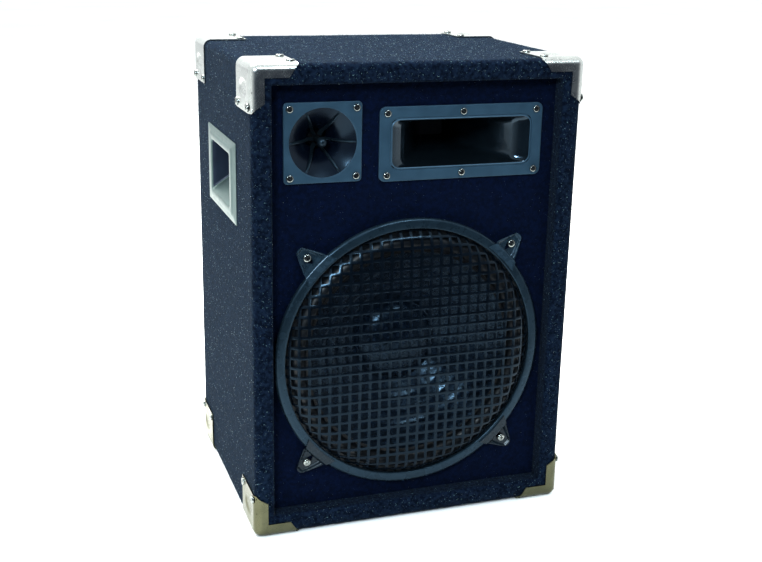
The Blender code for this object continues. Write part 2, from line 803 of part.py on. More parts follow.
def make_phase_plug():
    """The bullet in the tweeter's bell, held by six fins."""
    x, z = TWEETER_AT
    bullet = turned("tweeter_phase_plug", "black_plastic", [
        (0.0, 0.0), (0.0028, -0.0008), (0.0052, -0.0030), (0.0064, -0.0070),
        (0.0060, -0.0220), (0.0030, -0.0320), (0.0, -0.0330),
    ], (x, HORN_FACE_Y, z), False, 12)
    half_thick = 0.0006
    clear = 0.0005
    depths = [0.0035, 0.0080, 0.0130, 0.0190, 0.0250]
    outline = [(tweeter_radius(depth) - clear, depth) for depth in depths]
    outline += [(0.0040, depths[-1] + 0.002), (0.0040, 0.0100)]
    for number in range(6):
        mesh = outline_mesh(f"fin_{number + 1}", outline, -half_thick, half_thick)
        # The outline lies in X and Z: depth along Z turns to +Y, then the fin turns about Y.
        stand = Matrix.Rotation(math.radians(-90), 4, "X")
        turn = Matrix.Rotation(math.radians(60 * number), 4, "Y")
        mesh.transform(Matrix.Translation((x, HORN_FACE_Y, z)) @ turn @ stand)
        boolean(bullet, add_object(f"fin_{number + 1}", mesh, None, CUTTERS), "UNION")


def midrange_half(depth):
    """Half width and half height inside the mid horn at a depth behind its face."""
    left = max(0.0, 1 - depth / MIDRANGE_LENGTH)
    throat_x, throat_z = 0.0140, 0.0080
    half_x = throat_x + (MIDRANGE_MOUTH[0] / 2 - throat_x) * left ** 1.15
    half_z = throat_z + (MIDRANGE_MOUTH[1] / 2 - throat_z) * left
    return half_x, half_z


def make_midrange():
    per_corner = 4
    plate = rounded_rectangle(MIDRANGE_PLATE[0] / 2, MIDRANGE_PLATE[1] / 2, 0.006, per_corner)
    steps = 4
    depths = [MIDRANGE_LENGTH * i / steps for i in range(steps + 1)]
    corner = 0.008

    def section(depth, wall):
        half_x, half_z = midrange_half(depth)
        radius = corner * (1 - 0.6 * depth / MIDRANGE_LENGTH)
        points = rounded_rectangle(half_x + wall, half_z + wall, radius + wall, per_corner)
        return ring_at(points, MIDRANGE_AT, HORN_FACE_Y + depth)

    rings = [ring_at(plate, MIDRANGE_AT, HORN_FACE_Y), ring_at(plate, MIDRANGE_AT, MOUNT_Y)]
    rings.append(section(HORN_PLATE, HORN_WALL))
    rings += [section(depth, HORN_WALL) for depth in depths[1:]]
    rings += [section(depth, 0.0) for depth in reversed(depths)]
    horn = loft("midrange_horn", "black_plastic", rings, False)
    drill(horn, midrange_screw_places(), SCREW_SHANK, HORN_FACE_Y, 0.02)
    back = HORN_FACE_Y + MIDRANGE_LENGTH + GAP
    turned("midrange_driver", "black_plastic", [
        (0.0, 0.0), (0.0310, 0.0), (0.0320, -0.0020), (0.0320, -0.0200), (0.0240, -0.0240),
        (0.0, -0.0240),
    ], (MIDRANGE_AT[0], back, MIDRANGE_AT[1]), False, MIDDLE_ROUND)


def fastener(name, place, face_y, head_radius, head_height, shank_radius, length):
    """A pan head screw driven along +Y, its head's seat just off the face."""
    seat = face_y - GAP
    turned(name, "zinc_steel", [
        (0.0, head_height), (head_radius * 0.8, head_height * 0.7), (head_radius, 0.0),
        (shank_radius, 0.0), (shank_radius, -length + 0.002), (0.0, -length),
    ], (place[0], seat, place[1]), False, SCREW_ROUND)


def make_fasteners():
    for number, place in enumerate(tweeter_screw_places(), 1):
        fastener(f"tweeter_screw_{number}", place, HORN_FACE_Y, 0.0037, 0.0022, SCREW_SHANK, 0.018)
    for number, place in enumerate(midrange_screw_places(), 1):
        fastener(f"midrange_screw_{number}", place, HORN_FACE_Y, 0.0037, 0.0022, SCREW_SHANK, 0.018)
    floor_front = MOUNT_Y - 0.0026
    for number, place in enumerate(clamp_bolt_places(), 1):
        fastener(f"clamp_bolt_{number}", place, floor_front, 0.0046, 0.0029, BOLT_SHANK, 0.022)


# ---------------------------------------------------------------- handles

def make_handle(name, side):
    """A pressed recessed handle: a bevelled frame, a rolled lip and a cup with a sloping floor."""
    face = HALF_W + GAP
    steel = 0.0012
    frame_x, frame_z = HANDLE_FRAME[0] / 2, HANDLE_FRAME[1] / 2
    mouth_x, mouth_z = HANDLE_MOUTH[0] / 2, HANDLE_MOUTH[1] / 2
    lip = 0.0015
    deep_half_z, deep_up = 0.0140, 0.0140
    y, z = HANDLE_AT

    def ring(half_y, half_z, radius, out, up=0.0):
        points = rounded_rectangle(half_y, half_z, radius, 4)
        return [(side * (face + out), y + u, z + up + v) for u, v in points]

    rings = [
        ring(mouth_x - 0.004 + steel, deep_half_z + steel, 0.004, -HANDLE_DEPTH - steel, deep_up),
        ring(mouth_x + steel, mouth_z + steel, 0.005, -0.004),
        ring(mouth_x + 0.004, mouth_z + 0.004, 0.005, 0.0),
        ring(frame_x, frame_z, 0.003, 0.0),
        ring(frame_x, frame_z, 0.003, steel * 0.6),
        ring(mouth_x + 0.010, mouth_z + 0.007, 0.006, steel + 0.4 * lip),
        ring(mouth_x + 0.005, mouth_z + 0.004, 0.006, steel + lip),
        ring(mouth_x + 0.001, mouth_z + 0.001, 0.005, steel + lip),
        ring(mouth_x, mouth_z, 0.005, steel - 0.001),
        ring(mouth_x - 0.004, deep_half_z, 0.004, -HANDLE_DEPTH, deep_up),
    ]
    loft(name, "handle_metal", rings, True)


# ---------------------------------------------------------------- rear terminal and crossover

def make_terminal():
    """A recessed dish with a jack socket and two sprung clip levers."""
    x, z = TERMINAL_AT
    face = HALF_D + GAP
    wall = 0.0015
    flange = 0.0012
    half_x, half_z = TERMINAL_FRAME[0] / 2, TERMINAL_FRAME[1] / 2
    mouth_x, mouth_z = TERMINAL_MOUTH[0] / 2, TERMINAL_MOUTH[1] / 2
    taper = 0.003

    def ring(size_x, size_z, radius, out):
        return [(x + u, face + out, z + v) for u, v in rounded_rectangle(size_x, size_z, radius, 4)]

    rings = [
        ring(mouth_x - taper + wall, mouth_z - taper + wall, 0.005, -TERMINAL_DEPTH - wall),
        ring(mouth_x + wall, mouth_z + wall, 0.006, 0.0),
        ring(half_x, half_z, 0.006, 0.0),
        ring(half_x, half_z, 0.006, flange),
        ring(mouth_x, mouth_z, 0.005, flange),
        ring(mouth_x - taper, mouth_z - taper, 0.004, -TERMINAL_DEPTH),
    ]
    dish = loft("terminal_plate", "black_plastic", rings, True)
    floor_y = face - TERMINAL_DEPTH
    hole = cylinder_cutter("jack_hole", 0.0062, (x + JACK_X, floor_y, z), 0.02, 16)
    boolean(dish, hole)
    pocket_x = LEVER_SIZE[0] / 2 + 0.0008
    for name, lever_x in LEVER_XS.items():
        pocket = cutter_box(
            f"{name}_pocket",
            (x + lever_x - pocket_x, floor_y - 0.01, z - 0.0150),
            (x + lever_x + pocket_x, floor_y + 0.01, z + 0.0130),
        )
        boolean(dish, pocket)
        make_lever(name, x + lever_x, floor_y, z)
    back = -wall - GAP
    turned("input_jack", "black_plastic", [
        (0.0, -0.0190), (0.0033, -0.0190), (0.0033, 0.0055), (0.0052, 0.0055), (0.0056, 0.0050),
        (0.0056, 0.0028), (0.0080, 0.0028), (0.0080, GAP), (0.0058, GAP), (0.0058, back),
        (0.0090, back), (0.0090, -0.0220), (0.0, -0.0220),
    ], (x + JACK_X, floor_y, z), False, SMALL_ROUND, rear=True)


def make_lever(name, x, floor_y, z):
    """A clip lever, its origin on its hinge near the lower end."""
    width, thick, tall = LEVER_SIZE
    hinge = Vector((x, floor_y - 0.0015, z - 0.009))
    finish = "red_plastic" if name.endswith("red") else "black_plastic"
    low_y = floor_y - 0.0040
    lever = box(
        name, (x - width / 2, low_y, z - tall / 2), (x + width / 2, low_y + thick, z + tall / 2), finish,
    )
    lever.data.transform(Matrix.Translation(lever.location - hinge))
    lever.location = hinge
    bevel(lever, 0.0012, 2)


def make_crossover():
    board_back = REAR_INSIDE_Y - GAP
    board_front = board_back - 0.0016
    box("crossover_board", (-0.055, board_front, 0.085), (0.055, board_back, 0.155), "circuit_board")
    seat = board_front - GAP
    turned("crossover_coil", "copper", [
        (0.0190, 0.0170), (0.0190, 0.0), (0.0080, 0.0), (0.0080, 0.0170),
    ], (-0.025, seat, 0.120), True, MIDDLE_ROUND)
    turned("crossover_capacitor", "black_plastic", [
        (0.0, 0.0260), (0.0080, 0.0260), (0.0090, 0.0250), (0.0090, 0.0), (0.0, 0.0),
    ], (0.028, seat, 0.120), False, SMALL_ROUND)


def main():
    clear_scene()
    handle_holes = (handle_hole("handle_hole_left", -1), handle_hole("handle_hole_right", 1))
    rear_hole = terminal_hole()
    make_boards(handle_holes, rear_hole)
    make_carpet(handle_holes, rear_hole)
    make_protectors()
    make_woofer()
    make_grille()
    make_tweeter()
    make_midrange()
    make_fasteners()
    make_handle("handle_left", -1)
    make_handle("handle_right", 1)
    make_terminal()
    make_crossover()


main()
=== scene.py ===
"""The looks of the PA speaker cabinet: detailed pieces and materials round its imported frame."""

import functools
import itertools
import math
import random

import bmesh
import bpy
import numpy as np
from mathutils import Matrix, Vector, noise


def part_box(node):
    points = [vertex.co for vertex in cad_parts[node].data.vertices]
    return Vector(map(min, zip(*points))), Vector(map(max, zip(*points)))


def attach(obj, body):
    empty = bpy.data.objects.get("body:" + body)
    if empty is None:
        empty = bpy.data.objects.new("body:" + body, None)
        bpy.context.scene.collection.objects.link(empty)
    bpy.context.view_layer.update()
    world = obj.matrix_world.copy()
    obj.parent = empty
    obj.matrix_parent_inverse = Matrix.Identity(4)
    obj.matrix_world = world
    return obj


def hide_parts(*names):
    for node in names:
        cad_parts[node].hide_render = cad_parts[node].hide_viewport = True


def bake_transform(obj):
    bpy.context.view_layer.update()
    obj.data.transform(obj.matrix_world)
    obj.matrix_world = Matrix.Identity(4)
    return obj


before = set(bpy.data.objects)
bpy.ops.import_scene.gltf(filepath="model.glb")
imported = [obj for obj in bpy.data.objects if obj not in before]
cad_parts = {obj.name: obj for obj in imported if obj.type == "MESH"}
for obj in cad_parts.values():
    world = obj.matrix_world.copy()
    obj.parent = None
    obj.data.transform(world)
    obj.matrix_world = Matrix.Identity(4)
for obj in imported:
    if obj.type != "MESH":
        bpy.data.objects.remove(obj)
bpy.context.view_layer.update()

MM = 0.001
WELD = 0.01 * MM            # points nearer than this become one
CABINET = "cabinet"
MOVING = "cone_assembly"


# ---------------------------------------------------------------- places taken from the frame

@functools.lru_cache(maxsize=None)
def node_box(node):
    """A CAD node's lowest and highest corners, read once."""
    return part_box(node)


def middle(node):
    low, high = node_box(node)
    return (low + high) / 2


def half_size(node):
    low, high = node_box(node)
    return (high - low) / 2


WRAP_LOW, WRAP_HIGH = node_box("carpet_wrap")
WRAP_MIDDLE = (WRAP_LOW + WRAP_HIGH) / 2
WRAP_HALF = (WRAP_HIGH - WRAP_LOW) / 2
BAFFLE_Y = node_box("baffle_carpet")[0].y
MOUTH_HALF = half_size("baffle_carpet") - Vector((1.7 * MM, 0.0, 1.7 * MM))
WOOFER = middle("grille_ring")
MOUNT_Y = node_box("woofer_basket")[1].y - 80 * MM      # back face of the woofer's flange
TWEETER = middle("tweeter_horn")
MIDRANGE = middle("midrange_horn")
HORN_FACE = node_box("tweeter_horn")[0].y
RING_RADIUS = half_size("grille_ring").x
RING_FRONT = node_box("grille_ring")[0].y


# ---------------------------------------------------------------- mesh helpers

def new_object(name, data):
    """An object in the scene for a mesh, a lamp or a camera."""
    made = bpy.data.objects.new(name, data)
    bpy.context.scene.collection.objects.link(made)
    return made


def shade(mesh, sharp):
    """Smooth shading, with edges kept sharp above an angle in degrees."""
    mesh.shade_smooth()
    mesh.set_sharp_from_angle(angle=math.radians(sharp))


def add_mesh(name, points, faces, sharp=35):
    """An object from points and faces, welded, facing out and shaded."""
    mesh = bpy.data.meshes.new(name)
    mesh.from_pydata([tuple(p) for p in points], [], faces)
    shape = bmesh.new()
    shape.from_mesh(mesh)
    bmesh.ops.remove_doubles(shape, verts=shape.verts, dist=WELD)
    bmesh.ops.recalc_face_normals(shape, faces=shape.faces)
    shape.to_mesh(mesh)
    shape.free()
    shade(mesh, sharp)
    return new_object(name, mesh)


def settle(piece, sharp=35):
    """Apply a piece's modifiers to its mesh."""
    graph = bpy.context.evaluated_depsgraph_get()
    mesh = bpy.data.meshes.new_from_object(piece.evaluated_get(graph))
    piece.modifiers.clear()
    piece.data = mesh
    shade(mesh, sharp)
    return piece


def thickened(sheet, thickness, sharp, even=False):
    """Give a sheet its thickness, away from the side that it faces."""
    steel = sheet.modifiers.new("steel", "SOLIDIFY")
    steel.thickness = thickness
    steel.offset = -1.0
    steel.use_even_offset = even
    return settle(sheet, sharp)


def front_sheet(name, points, faces, thickness, sharp):
    """A sheet that faces the front, thickened towards the back."""
    sheet = add_mesh(name, points, faces)
    if sum(face.normal.y for face in sheet.data.polygons) > 0:
        sheet.data.flip_normals()
    return thickened(sheet, thickness, sharp)


def cut(piece, *tools, sharp=35):
    """Cut other shapes out of a piece, and remove them."""
    for tool in tools:
        step = piece.modifiers.new("cut", "BOOLEAN")
        step.operation = "DIFFERENCE"
        step.solver = "EXACT"
        step.object = tool
    settle(piece, sharp)
    for tool in tools:
        bpy.data.objects.remove(tool)
    return piece


def block(name, low, high):
    """A box between two corners."""
    low, high = Vector(low), Vector(high)
    mesh = bpy.data.meshes.new(name)
    shape = bmesh.new()
    place = Matrix.Translation((low + high) / 2) @ Matrix.Diagonal((*(high - low), 1.0))
    bmesh.ops.create_cube(shape, size=1.0, matrix=place)
    shape.to_mesh(mesh)
    shape.free()
    return new_object(name, mesh)


def arc(steps, first=0):
    """Angles in radians of a quarter turn, from the given step to the last."""
    return [math.pi / 2 * step / steps for step in range(first, steps + 1)]


def eased(share):
    """A share held between 0 and 1 and slowed at both ends."""
    share = min(1.0, max(0.0, share))
    return share * share * (3 - 2 * share)


def spoke(degrees):
    """A direction in the front's plane, from the right side up."""
    turn = math.radians(degrees)
    return Vector((math.cos(turn), 0.0, math.sin(turn)))


def between(first, second, share):
    """The point a share of the way from one point to another."""
    return tuple(a + (b - a) * share for a, b in zip(first, second))


def loft(name, rings, capped=False, sharp=35):
    """Skin rings of equally many points, closed onto the first ring or capped at both ends."""
    count = len(rings[0])
    points = [point for ring in rings for point in ring]
    steps = len(rings) - 1 if capped else len(rings)
    faces = []
    for row in range(steps):
        near, far = row * count, (row + 1) % len(rings) * count
        for i in range(count):
            following = (i + 1) % count
            faces.append((near + i, far + i, far + following, near + following))
    if capped:
        faces.append(tuple(range(count)))
        faces.append(tuple(range(len(points) - 1, len(points) - 1 - count, -1)))
    return add_mesh(name, points, faces, sharp)


def turned(name, profile, centre, sides=96, closed=True, sharp=35, start=0.0, sweep=360.0):
    """Turn (radius, height) points about the line through centre along Y, height towards the front.

    A sweep under 360 degrees makes a closed wedge. Points on the axis become one shared vertex.
    """
    full = sweep >= 360
    columns = sides if full else sides + 1
    points = []
    for column in range(columns):
        turn = math.radians(start + sweep * column / sides)
        for radius, height in profile:
            points.append((
                centre[0] + radius * math.cos(turn), centre[1] - height,
                centre[2] + radius * math.sin(turn),
            ))
    rows = len(profile)
    pairs = [(i, i + 1) for i in range(rows - 1)] + ([(rows - 1, 0)] if closed else [])
    faces = []
    for column in range(sides):
        near, far = column * rows, (column + 1) % columns * rows
        for low, high in pairs:
            corners = [near + low, near + high, far + high, far + low]
            low_on_axis, high_on_axis = profile[low][0] < WELD, profile[high][0] < WELD
            if low_on_axis and high_on_axis:
                continue
            if low_on_axis:
                corners = [near + low, near + high, far + high]
            elif high_on_axis:
                corners = [near + low, near + high, far + low]
            faces.append(tuple(corners))
    if not full:
        faces.append(tuple(range(rows)))
        faces.append(tuple(range((columns - 1) * rows, columns * rows)))
    return add_mesh(name, points, faces, sharp)


def corner_points(half_width, half_height, radius, per_corner, along_width=0, along_height=0):
    """A rounded rectangle's points, with extra points along its straight sides."""
    corners = []
    for quarter, (side, up) in enumerate(((1, 1), (-1, 1), (-1, -1), (1, -1))):
        corners.append([(
            side * (half_width - radius) + radius * math.cos(math.pi / 2 * quarter + angle),
            up * (half_height - radius) + radius * math.sin(math.pi / 2 * quarter + angle),
        ) for angle in arc(per_corner)])
    points = []
    for quarter, corner in enumerate(corners):
        following = corners[(quarter + 1) % 4][0]
        extra = along_height if quarter % 2 else along_width
        points += corner
        points += [between(corner[-1], following, step / (extra + 1)) for step in range(1, extra + 1)]
    return points


def flat_ring(points, centre, y):
    """Points of an outline stood up in a plane that faces the front."""
    return [(centre[0] + u, y, centre[2] + v) for u, v in points]


# ---------------------------------------------------------------- materials

def new_material(name):
    made = bpy.data.materials.new(name)
    made.use_nodes = True
    return made, made.node_tree.nodes, made.node_tree.links


def noise_node(nodes, links, scale, detail=4.0, stretch=None):
    """A noise texture in the row's own metres, its scale in features per metre."""
    place = nodes.new("ShaderNodeTexCoord")
    texture = nodes.new("ShaderNodeTexNoise")
    texture.inputs["Scale"].default_value = scale
    texture.inputs["Detail"].default_value = detail
    if stretch is None:
        links.new(place.outputs["Object"], texture.inputs["Vector"])
    else:
        mapping = nodes.new("ShaderNodeMapping")
        mapping.inputs["Scale"].default_value = stretch
        links.new(place.outputs["Object"], mapping.inputs["Vector"])
        links.new(mapping.outputs["Vector"], texture.inputs["Vector"])
    return texture


def ramp_node(nodes, links, source, stops):
    ramp = nodes.new("ShaderNodeValToRGB")
    elements = ramp.color_ramp.elements
    while len(elements) < len(stops):
        elements.new(0.5)
    for element, (place, colour) in zip(elements, stops):
        element.position = place
        element.color = (*colour, 1.0)
    links.new(source, ramp.inputs["Fac"])
    return ramp


def range_node(nodes, links, source, low, high, from_low=0.3, from_high=0.7):
    spread = nodes.new("ShaderNodeMapRange")
    spread.inputs["From Min"].default_value = from_low
    spread.inputs["From Max"].default_value = from_high
    spread.inputs["To Min"].default_value = low
    spread.inputs["To Max"].default_value = high
    links.new(source, spread.inputs["Value"])
    return spread


def bump_node(nodes, links, source, strength, distance, under=None):
    bump = nodes.new("ShaderNodeBump")
    bump.inputs["Strength"].default_value = strength
    bump.inputs["Distance"].default_value = distance
    links.new(source, bump.inputs["Height"])
    if under is not None:
        links.new(under.outputs["Normal"], bump.inputs["Normal"])
    return bump


def scaled(colour, factor):
    return tuple(min(1.0, c * factor) for c in colour)


GLOSS_SPREAD = 0.06


def surface(name, colour, roughness, metallic=0.0, spread=0.15, patch=60, grain=1500, grain_depth=0.05,
            grain_strength=0.25, coat=0.0, specular=0.5, tint=(1.0, 1.0, 1.0), stretch=None):
    """A moulded, painted or plated surface: uneven tone, uneven gloss and a fine grain."""
    made, nodes, links = new_material(name)
    shader = nodes["Principled BSDF"]
    shader.inputs["Metallic"].default_value = metallic
    shader.inputs["Specular IOR Level"].default_value = specular
    shader.inputs["Coat Weight"].default_value = coat
    shader.inputs["Specular Tint"].default_value = (*tint, 1.0)
    tone = noise_node(nodes, links, patch, 5.0)
    colours = ramp_node(nodes, links, tone.outputs["Fac"], [
        (0.30, scaled(colour, 1 - spread)), (0.70, scaled(colour, 1 + spread)),
    ])
    links.new(colours.outputs["Color"], shader.inputs["Base Color"])
    fine = noise_node(nodes, links, grain, 3.0, stretch)
    gloss = range_node(
        nodes, links, tone.outputs["Fac"], roughness - GLOSS_SPREAD, roughness + GLOSS_SPREAD,
    )
    links.new(gloss.outputs["Result"], shader.inputs["Roughness"])
    bump = bump_node(nodes, links, fine.outputs["Fac"], grain_strength, grain_depth * MM)
    links.new(bump.outputs["Normal"], shader.inputs["Normal"])
    return made


def carpet_material(name, dark, light, speck, sheen, speck_from=0.68):
    """Needle-punched carpet: matted fibres, mottled tone, pale specks and a soft sheen."""
    made, nodes, links = new_material(name)
    shader = nodes["Principled BSDF"]
    shader.inputs["Roughness"].default_value = 0.95
    shader.inputs["Specular IOR Level"].default_value = 0.06
    shader.inputs["Sheen Weight"].default_value = sheen
    shader.inputs["Sheen Roughness"].default_value = 0.45
    shader.inputs["Sheen Tint"].default_value = (0.62, 0.80, 0.92, 1.0)
    mottle = noise_node(nodes, links, 260, 6.0)
    base = ramp_node(nodes, links, mottle.outputs["Fac"], [(0.36, dark), (0.66, light)])
    dust = noise_node(nodes, links, 620, 2.0)
    mask = range_node(nodes, links, dust.outputs["Fac"], 0.0, 1.0, speck_from, speck_from + 0.05)
    mask.clamp = True
    mix = nodes.new("ShaderNodeMix")
    mix.data_type = "RGBA"
    links.new(mask.outputs["Result"], mix.inputs["Factor"])
    links.new(base.outputs["Color"], mix.inputs["A"])
    mix.inputs["B"].default_value = (*speck, 1.0)
    links.new(mix.outputs["Result"], shader.inputs["Base Color"])
    fibres = noise_node(nodes, links, 900, 6.0)
    lumps = noise_node(nodes, links, 120, 3.0)
    low = bump_node(nodes, links, lumps.outputs["Fac"], 0.5, 1.2 * MM)
    high = bump_node(nodes, links, fibres.outputs["Fac"], 0.9, 0.9 * MM, low)
    links.new(high.outputs["Normal"], shader.inputs["Normal"])
    return made


def wood_material():
    """Particle board: pale chips of several tones."""
    made, nodes, links = new_material("particle_board")
    shader = nodes["Principled BSDF"]
    shader.inputs["Roughness"].default_value = 0.8
    chips = nodes.new("ShaderNodeTexVoronoi")
    chips.inputs["Scale"].default_value = 350
    place = nodes.new("ShaderNodeTexCoord")
    links.new(place.outputs["Object"], chips.inputs["Vector"])
    colours = ramp_node(nodes, links, chips.outputs["Color"], [
        (0.2, (0.30, 0.20, 0.11)), (0.6, (0.48, 0.35, 0.20)), (0.9, (0.62, 0.48, 0.30)),
    ])
    links.new(colours.outputs["Color"], shader.inputs["Base Color"])
    bump = bump_node(nodes, links, chips.outputs["Distance"], 0.3, 0.3 * MM)
    links.new(bump.outputs["Normal"], shader.inputs["Normal"])
    return made


def make_materials():
    slate = (0.034, 0.068, 0.100)
    cold = (0.50, 0.76, 1.0)
    return {
        "board": wood_material(),
        "carpet": carpet_material(
            "cabinet_carpet", (0.0008, 0.0042, 0.0130), (0.0085, 0.0188, 0.0400), (0.13, 0.21, 0.22), 0.035,
        ),
        # The baffle's carpet is darker than the cabinet's: partly a darker carpet, partly painted shade of
        # the recess.
        "baffle": carpet_material(
            "baffle_carpet_dark_and_painted_shade", (0.0010, 0.0042, 0.0160), (0.0018, 0.0072, 0.0290),
            (0.06, 0.08, 0.12), 0.03, 0.73,
        ),
        "fibre": surface("carpet_fibre", (0.020, 0.040, 0.062), 0.8, specular=0.1),
        "lint": surface("carpet_lint", (0.30, 0.36, 0.36), 0.8, specular=0.2),
        "nickel": surface(
            "bright_nickel", (0.52, 0.54, 0.53), 0.25, 1.0, spread=0.06, patch=45, grain=700,
            grain_depth=0.04, grain_strength=0.12, stretch=(1.0, 1.0, 0.15),
        ),
        # The bottom protectors' copy of the nickel: darker and olive, painted shade and a painted reflection
        # of a dark floor.
        "nickel_bottom_painted_shade": surface(
            "nickel_with_painted_shade_and_reflection", (0.13, 0.13, 0.085), 0.27, 1.0, spread=0.15, patch=45, grain=700,
            grain_depth=0.04, grain_strength=0.15, stretch=(1.0, 1.0, 0.15),
        ),
        "screw": surface(
            "screw_chrome", (0.30, 0.32, 0.31), 0.20, 1.0, spread=0.08, patch=400, grain=3000,
            grain_depth=0.02,
        ),
        "handle": surface(
            "handle_metal", (0.108, 0.150, 0.148), 0.36, 0.50, spread=0.10, patch=80, grain=1800,
            grain_depth=0.05, grain_strength=0.3,
        ),
        # Painted shade: a dark navy for the cup's walls that don't face up, where shade falls in the hollow.
        "cup": surface(
            "handle_cup_painted_shade", (0.012, 0.022, 0.045), 0.45, 0.2, spread=0.15, patch=80, grain=1800,
            grain_depth=0.05,
        ),
        "horn": surface(
            "horn_plastic_satin", scaled(slate, 0.95), 0.36, tint=cold, spread=0.10, patch=70,
            grain=2600, grain_depth=0.03, specular=0.6,
        ),
        "horn_gloss": surface(
            "horn_plastic_gloss", scaled(slate, 0.12), 0.17, tint=cold, spread=0.15, patch=50, grain=900,
            grain_depth=0.02, grain_strength=0.1, specular=0.6, coat=0.3,
        ),
        "fin": surface(
            "fin_plastic", scaled(slate, 0.16), 0.30, tint=cold, spread=0.15, patch=50, grain=1200,
            grain_depth=0.02, grain_strength=0.15,
        ),
        "bell": surface(
            "bell_plastic", (0.0012, 0.003, 0.009), 0.22, tint=cold, spread=0.15, patch=50, grain=1200,
            grain_depth=0.02, grain_strength=0.15, specular=0.35,
        ),
        "grille": surface(
            "grille_paint", (0.0015, 0.004, 0.008), 0.24, tint=cold, spread=0.2, patch=60, grain=2000,
            grain_depth=0.04, specular=0.38,
        ),
        "ring": surface(
            "ring_paint", scaled(slate, 0.30), 0.28, tint=cold, spread=0.15, patch=60, grain=2000,
            grain_depth=0.04, specular=0.5,
        ),
        "clamp": surface(
            "clamp_paint", scaled(slate, 0.80), 0.27, 0.35, spread=0.15, patch=120, grain=1600,
            grain_depth=0.05, specular=0.5,
        ),
        # Painted shade: a darker copy of the clamp paint for the two lower clamps.
        "clamp_low": surface(
            "clamp_paint_shaded", scaled(slate, 0.30), 0.27, 0.20, spread=0.15, patch=120, grain=1600,
            grain_depth=0.05, specular=0.4,
        ),
        "cone": surface(
            "cone_paper", (0.004, 0.011, 0.024), 0.25, tint=cold, spread=0.35, patch=110, grain=200,
            grain_depth=0.6, grain_strength=0.5, specular=0.6,
        ),
        "surround": surface(
            "surround_rubber", (0.004, 0.007, 0.011), 0.42, spread=0.2, patch=90, grain=1300,
            grain_depth=0.08, grain_strength=0.4,
        ),
        "basket": surface("basket_paint", (0.012, 0.014, 0.016), 0.4, 0.2, patch=80),
        "ferrite": surface("ferrite", (0.030, 0.030, 0.033), 0.7, grain=900, grain_depth=0.15),
        "steel": surface("zinc_steel", (0.50, 0.48, 0.42), 0.35, 1.0, grain=900),
        "copper": surface(
            "enamelled_copper", (0.50, 0.19, 0.07), 0.28, 1.0, grain=2200, grain_depth=0.1,
            stretch=(0.05, 1.0, 0.05),
        ),
        "spider": surface("spider_cloth", (0.32, 0.22, 0.09), 0.85, grain=1600, grain_depth=0.3),
        "circuit": surface("circuit_laminate", (0.015, 0.10, 0.035), 0.4, patch=200),
        "baffle_board": surface("baffle_board_stain", (0.004, 0.006, 0.010), 0.7, specular=0.2),
        "black": surface("black_plastic", (0.012, 0.013, 0.015), 0.38, grain=2200),
        "red": surface("red_plastic", (0.32, 0.012, 0.012), 0.30, grain=2200),
        "black_lever": surface("lever_black_plastic", (0.015, 0.015, 0.017), 0.30, grain=2200),
    }


MATERIALS = make_materials()


def dress(piece, look, body=CABINET, nodes=()):
    """Give a piece its material and slot and its body, and hide the CAD nodes that it stands for."""
    piece.data.materials.clear()
    piece.data.materials.append(MATERIALS[look])
    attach(piece, body)
    if nodes:
        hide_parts(*nodes)
    return piece


def repaint(node, look):
    """Give a CAD node that stays in view its material."""
    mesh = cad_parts[node].data
    mesh.materials.clear()
    mesh.materials.append(MATERIALS[look])
    shade(mesh, 32)


# ---------------------------------------------------------------- carpet

EDGE = 8.0 * MM
RECESS_EDGE = 4.5 * MM
PILE = 1.7 * MM


def carpet_rings(under):
    """The carpet's rings from the terminal's opening, over the sides, to the foot of the recess.

    A depth under the surface gives the skin that lies on the board.
    """
    spacing = (5, 60, 86)
    rear_y, front_y = WRAP_HIGH.y - under, WRAP_LOW.y + under
    edge_width = WRAP_HALF.x - MOUTH_HALF.x
    recess_inset = edge_width - RECESS_EDGE
    bend, fold = EDGE - under, RECESS_EDGE - under
    recess_radius = 1.5 * MM

    def ring(inset, radius, y):
        half_x, half_z = WRAP_HALF.x - inset, WRAP_HALF.z - inset
        return flat_ring(corner_points(half_x, half_z, max(radius, 0.3 * MM), *spacing), WRAP_MIDDLE, y)

    hole_half = half_size("terminal_plate") - Vector((6 * MM, 0.0, 6 * MM))
    hole = corner_points(hole_half.x, hole_half.z, 2 * MM, *spacing)
    rear_hole = flat_ring(hole, middle("terminal_plate"), rear_y)
    rear_rim = ring(EDGE, 2 * MM, rear_y)
    rear_steps, side_steps, turns = 24, 56, 6
    rings = []
    for step in range(rear_steps + 1):
        rings.append([between(p, q, step / rear_steps) for p, q in zip(rear_hole, rear_rim)])
    for angle in arc(turns, 1):
        inset = EDGE - bend * math.sin(angle)
        rings.append(ring(inset, EDGE - inset + 0.5 * MM, rear_y - bend * (1 - math.cos(angle))))
    for step in range(1, side_steps):
        y = rear_y - bend + (front_y + bend - rear_y + bend) * step / side_steps
        rings.append(ring(under, EDGE - under, y))
    for angle in arc(turns):
        inset = EDGE - bend * math.cos(angle)
        rings.append(ring(inset, EDGE - inset + 0.5 * MM, front_y + bend * (1 - math.sin(angle))))
    for share in (0.35, 0.7, 1.0):
        rings.append(ring(EDGE + (recess_inset - EDGE) * share, recess_radius, front_y))
    for angle in arc(turns, 1):
        y = front_y + fold * (1 - math.cos(angle))
        rings.append(ring(recess_inset + fold * math.sin(angle), recess_radius, y))
    foot = BAFFLE_Y - 0.2 * MM
    for share in (0.25, 0.5, 0.75, 1.0):
        y = front_y + fold + (foot - front_y - fold) * share
        rings.append(ring(edge_width - under, recess_radius, y))
    return rings


def in_handle_hole(points):
    """Whether a patch of the side carpet lies behind a handle's mouth."""
    centre = sum((Vector(point) for point in points), Vector()) / len(points)
    if abs(centre.x) < WRAP_HALF.x - 3 * MM:
        return False
    low, high = node_box("handle_left")
    inset = 12 * MM
    return low.y + inset < centre.y < high.y - inset and low.z + inset < centre.z < high.z - inset


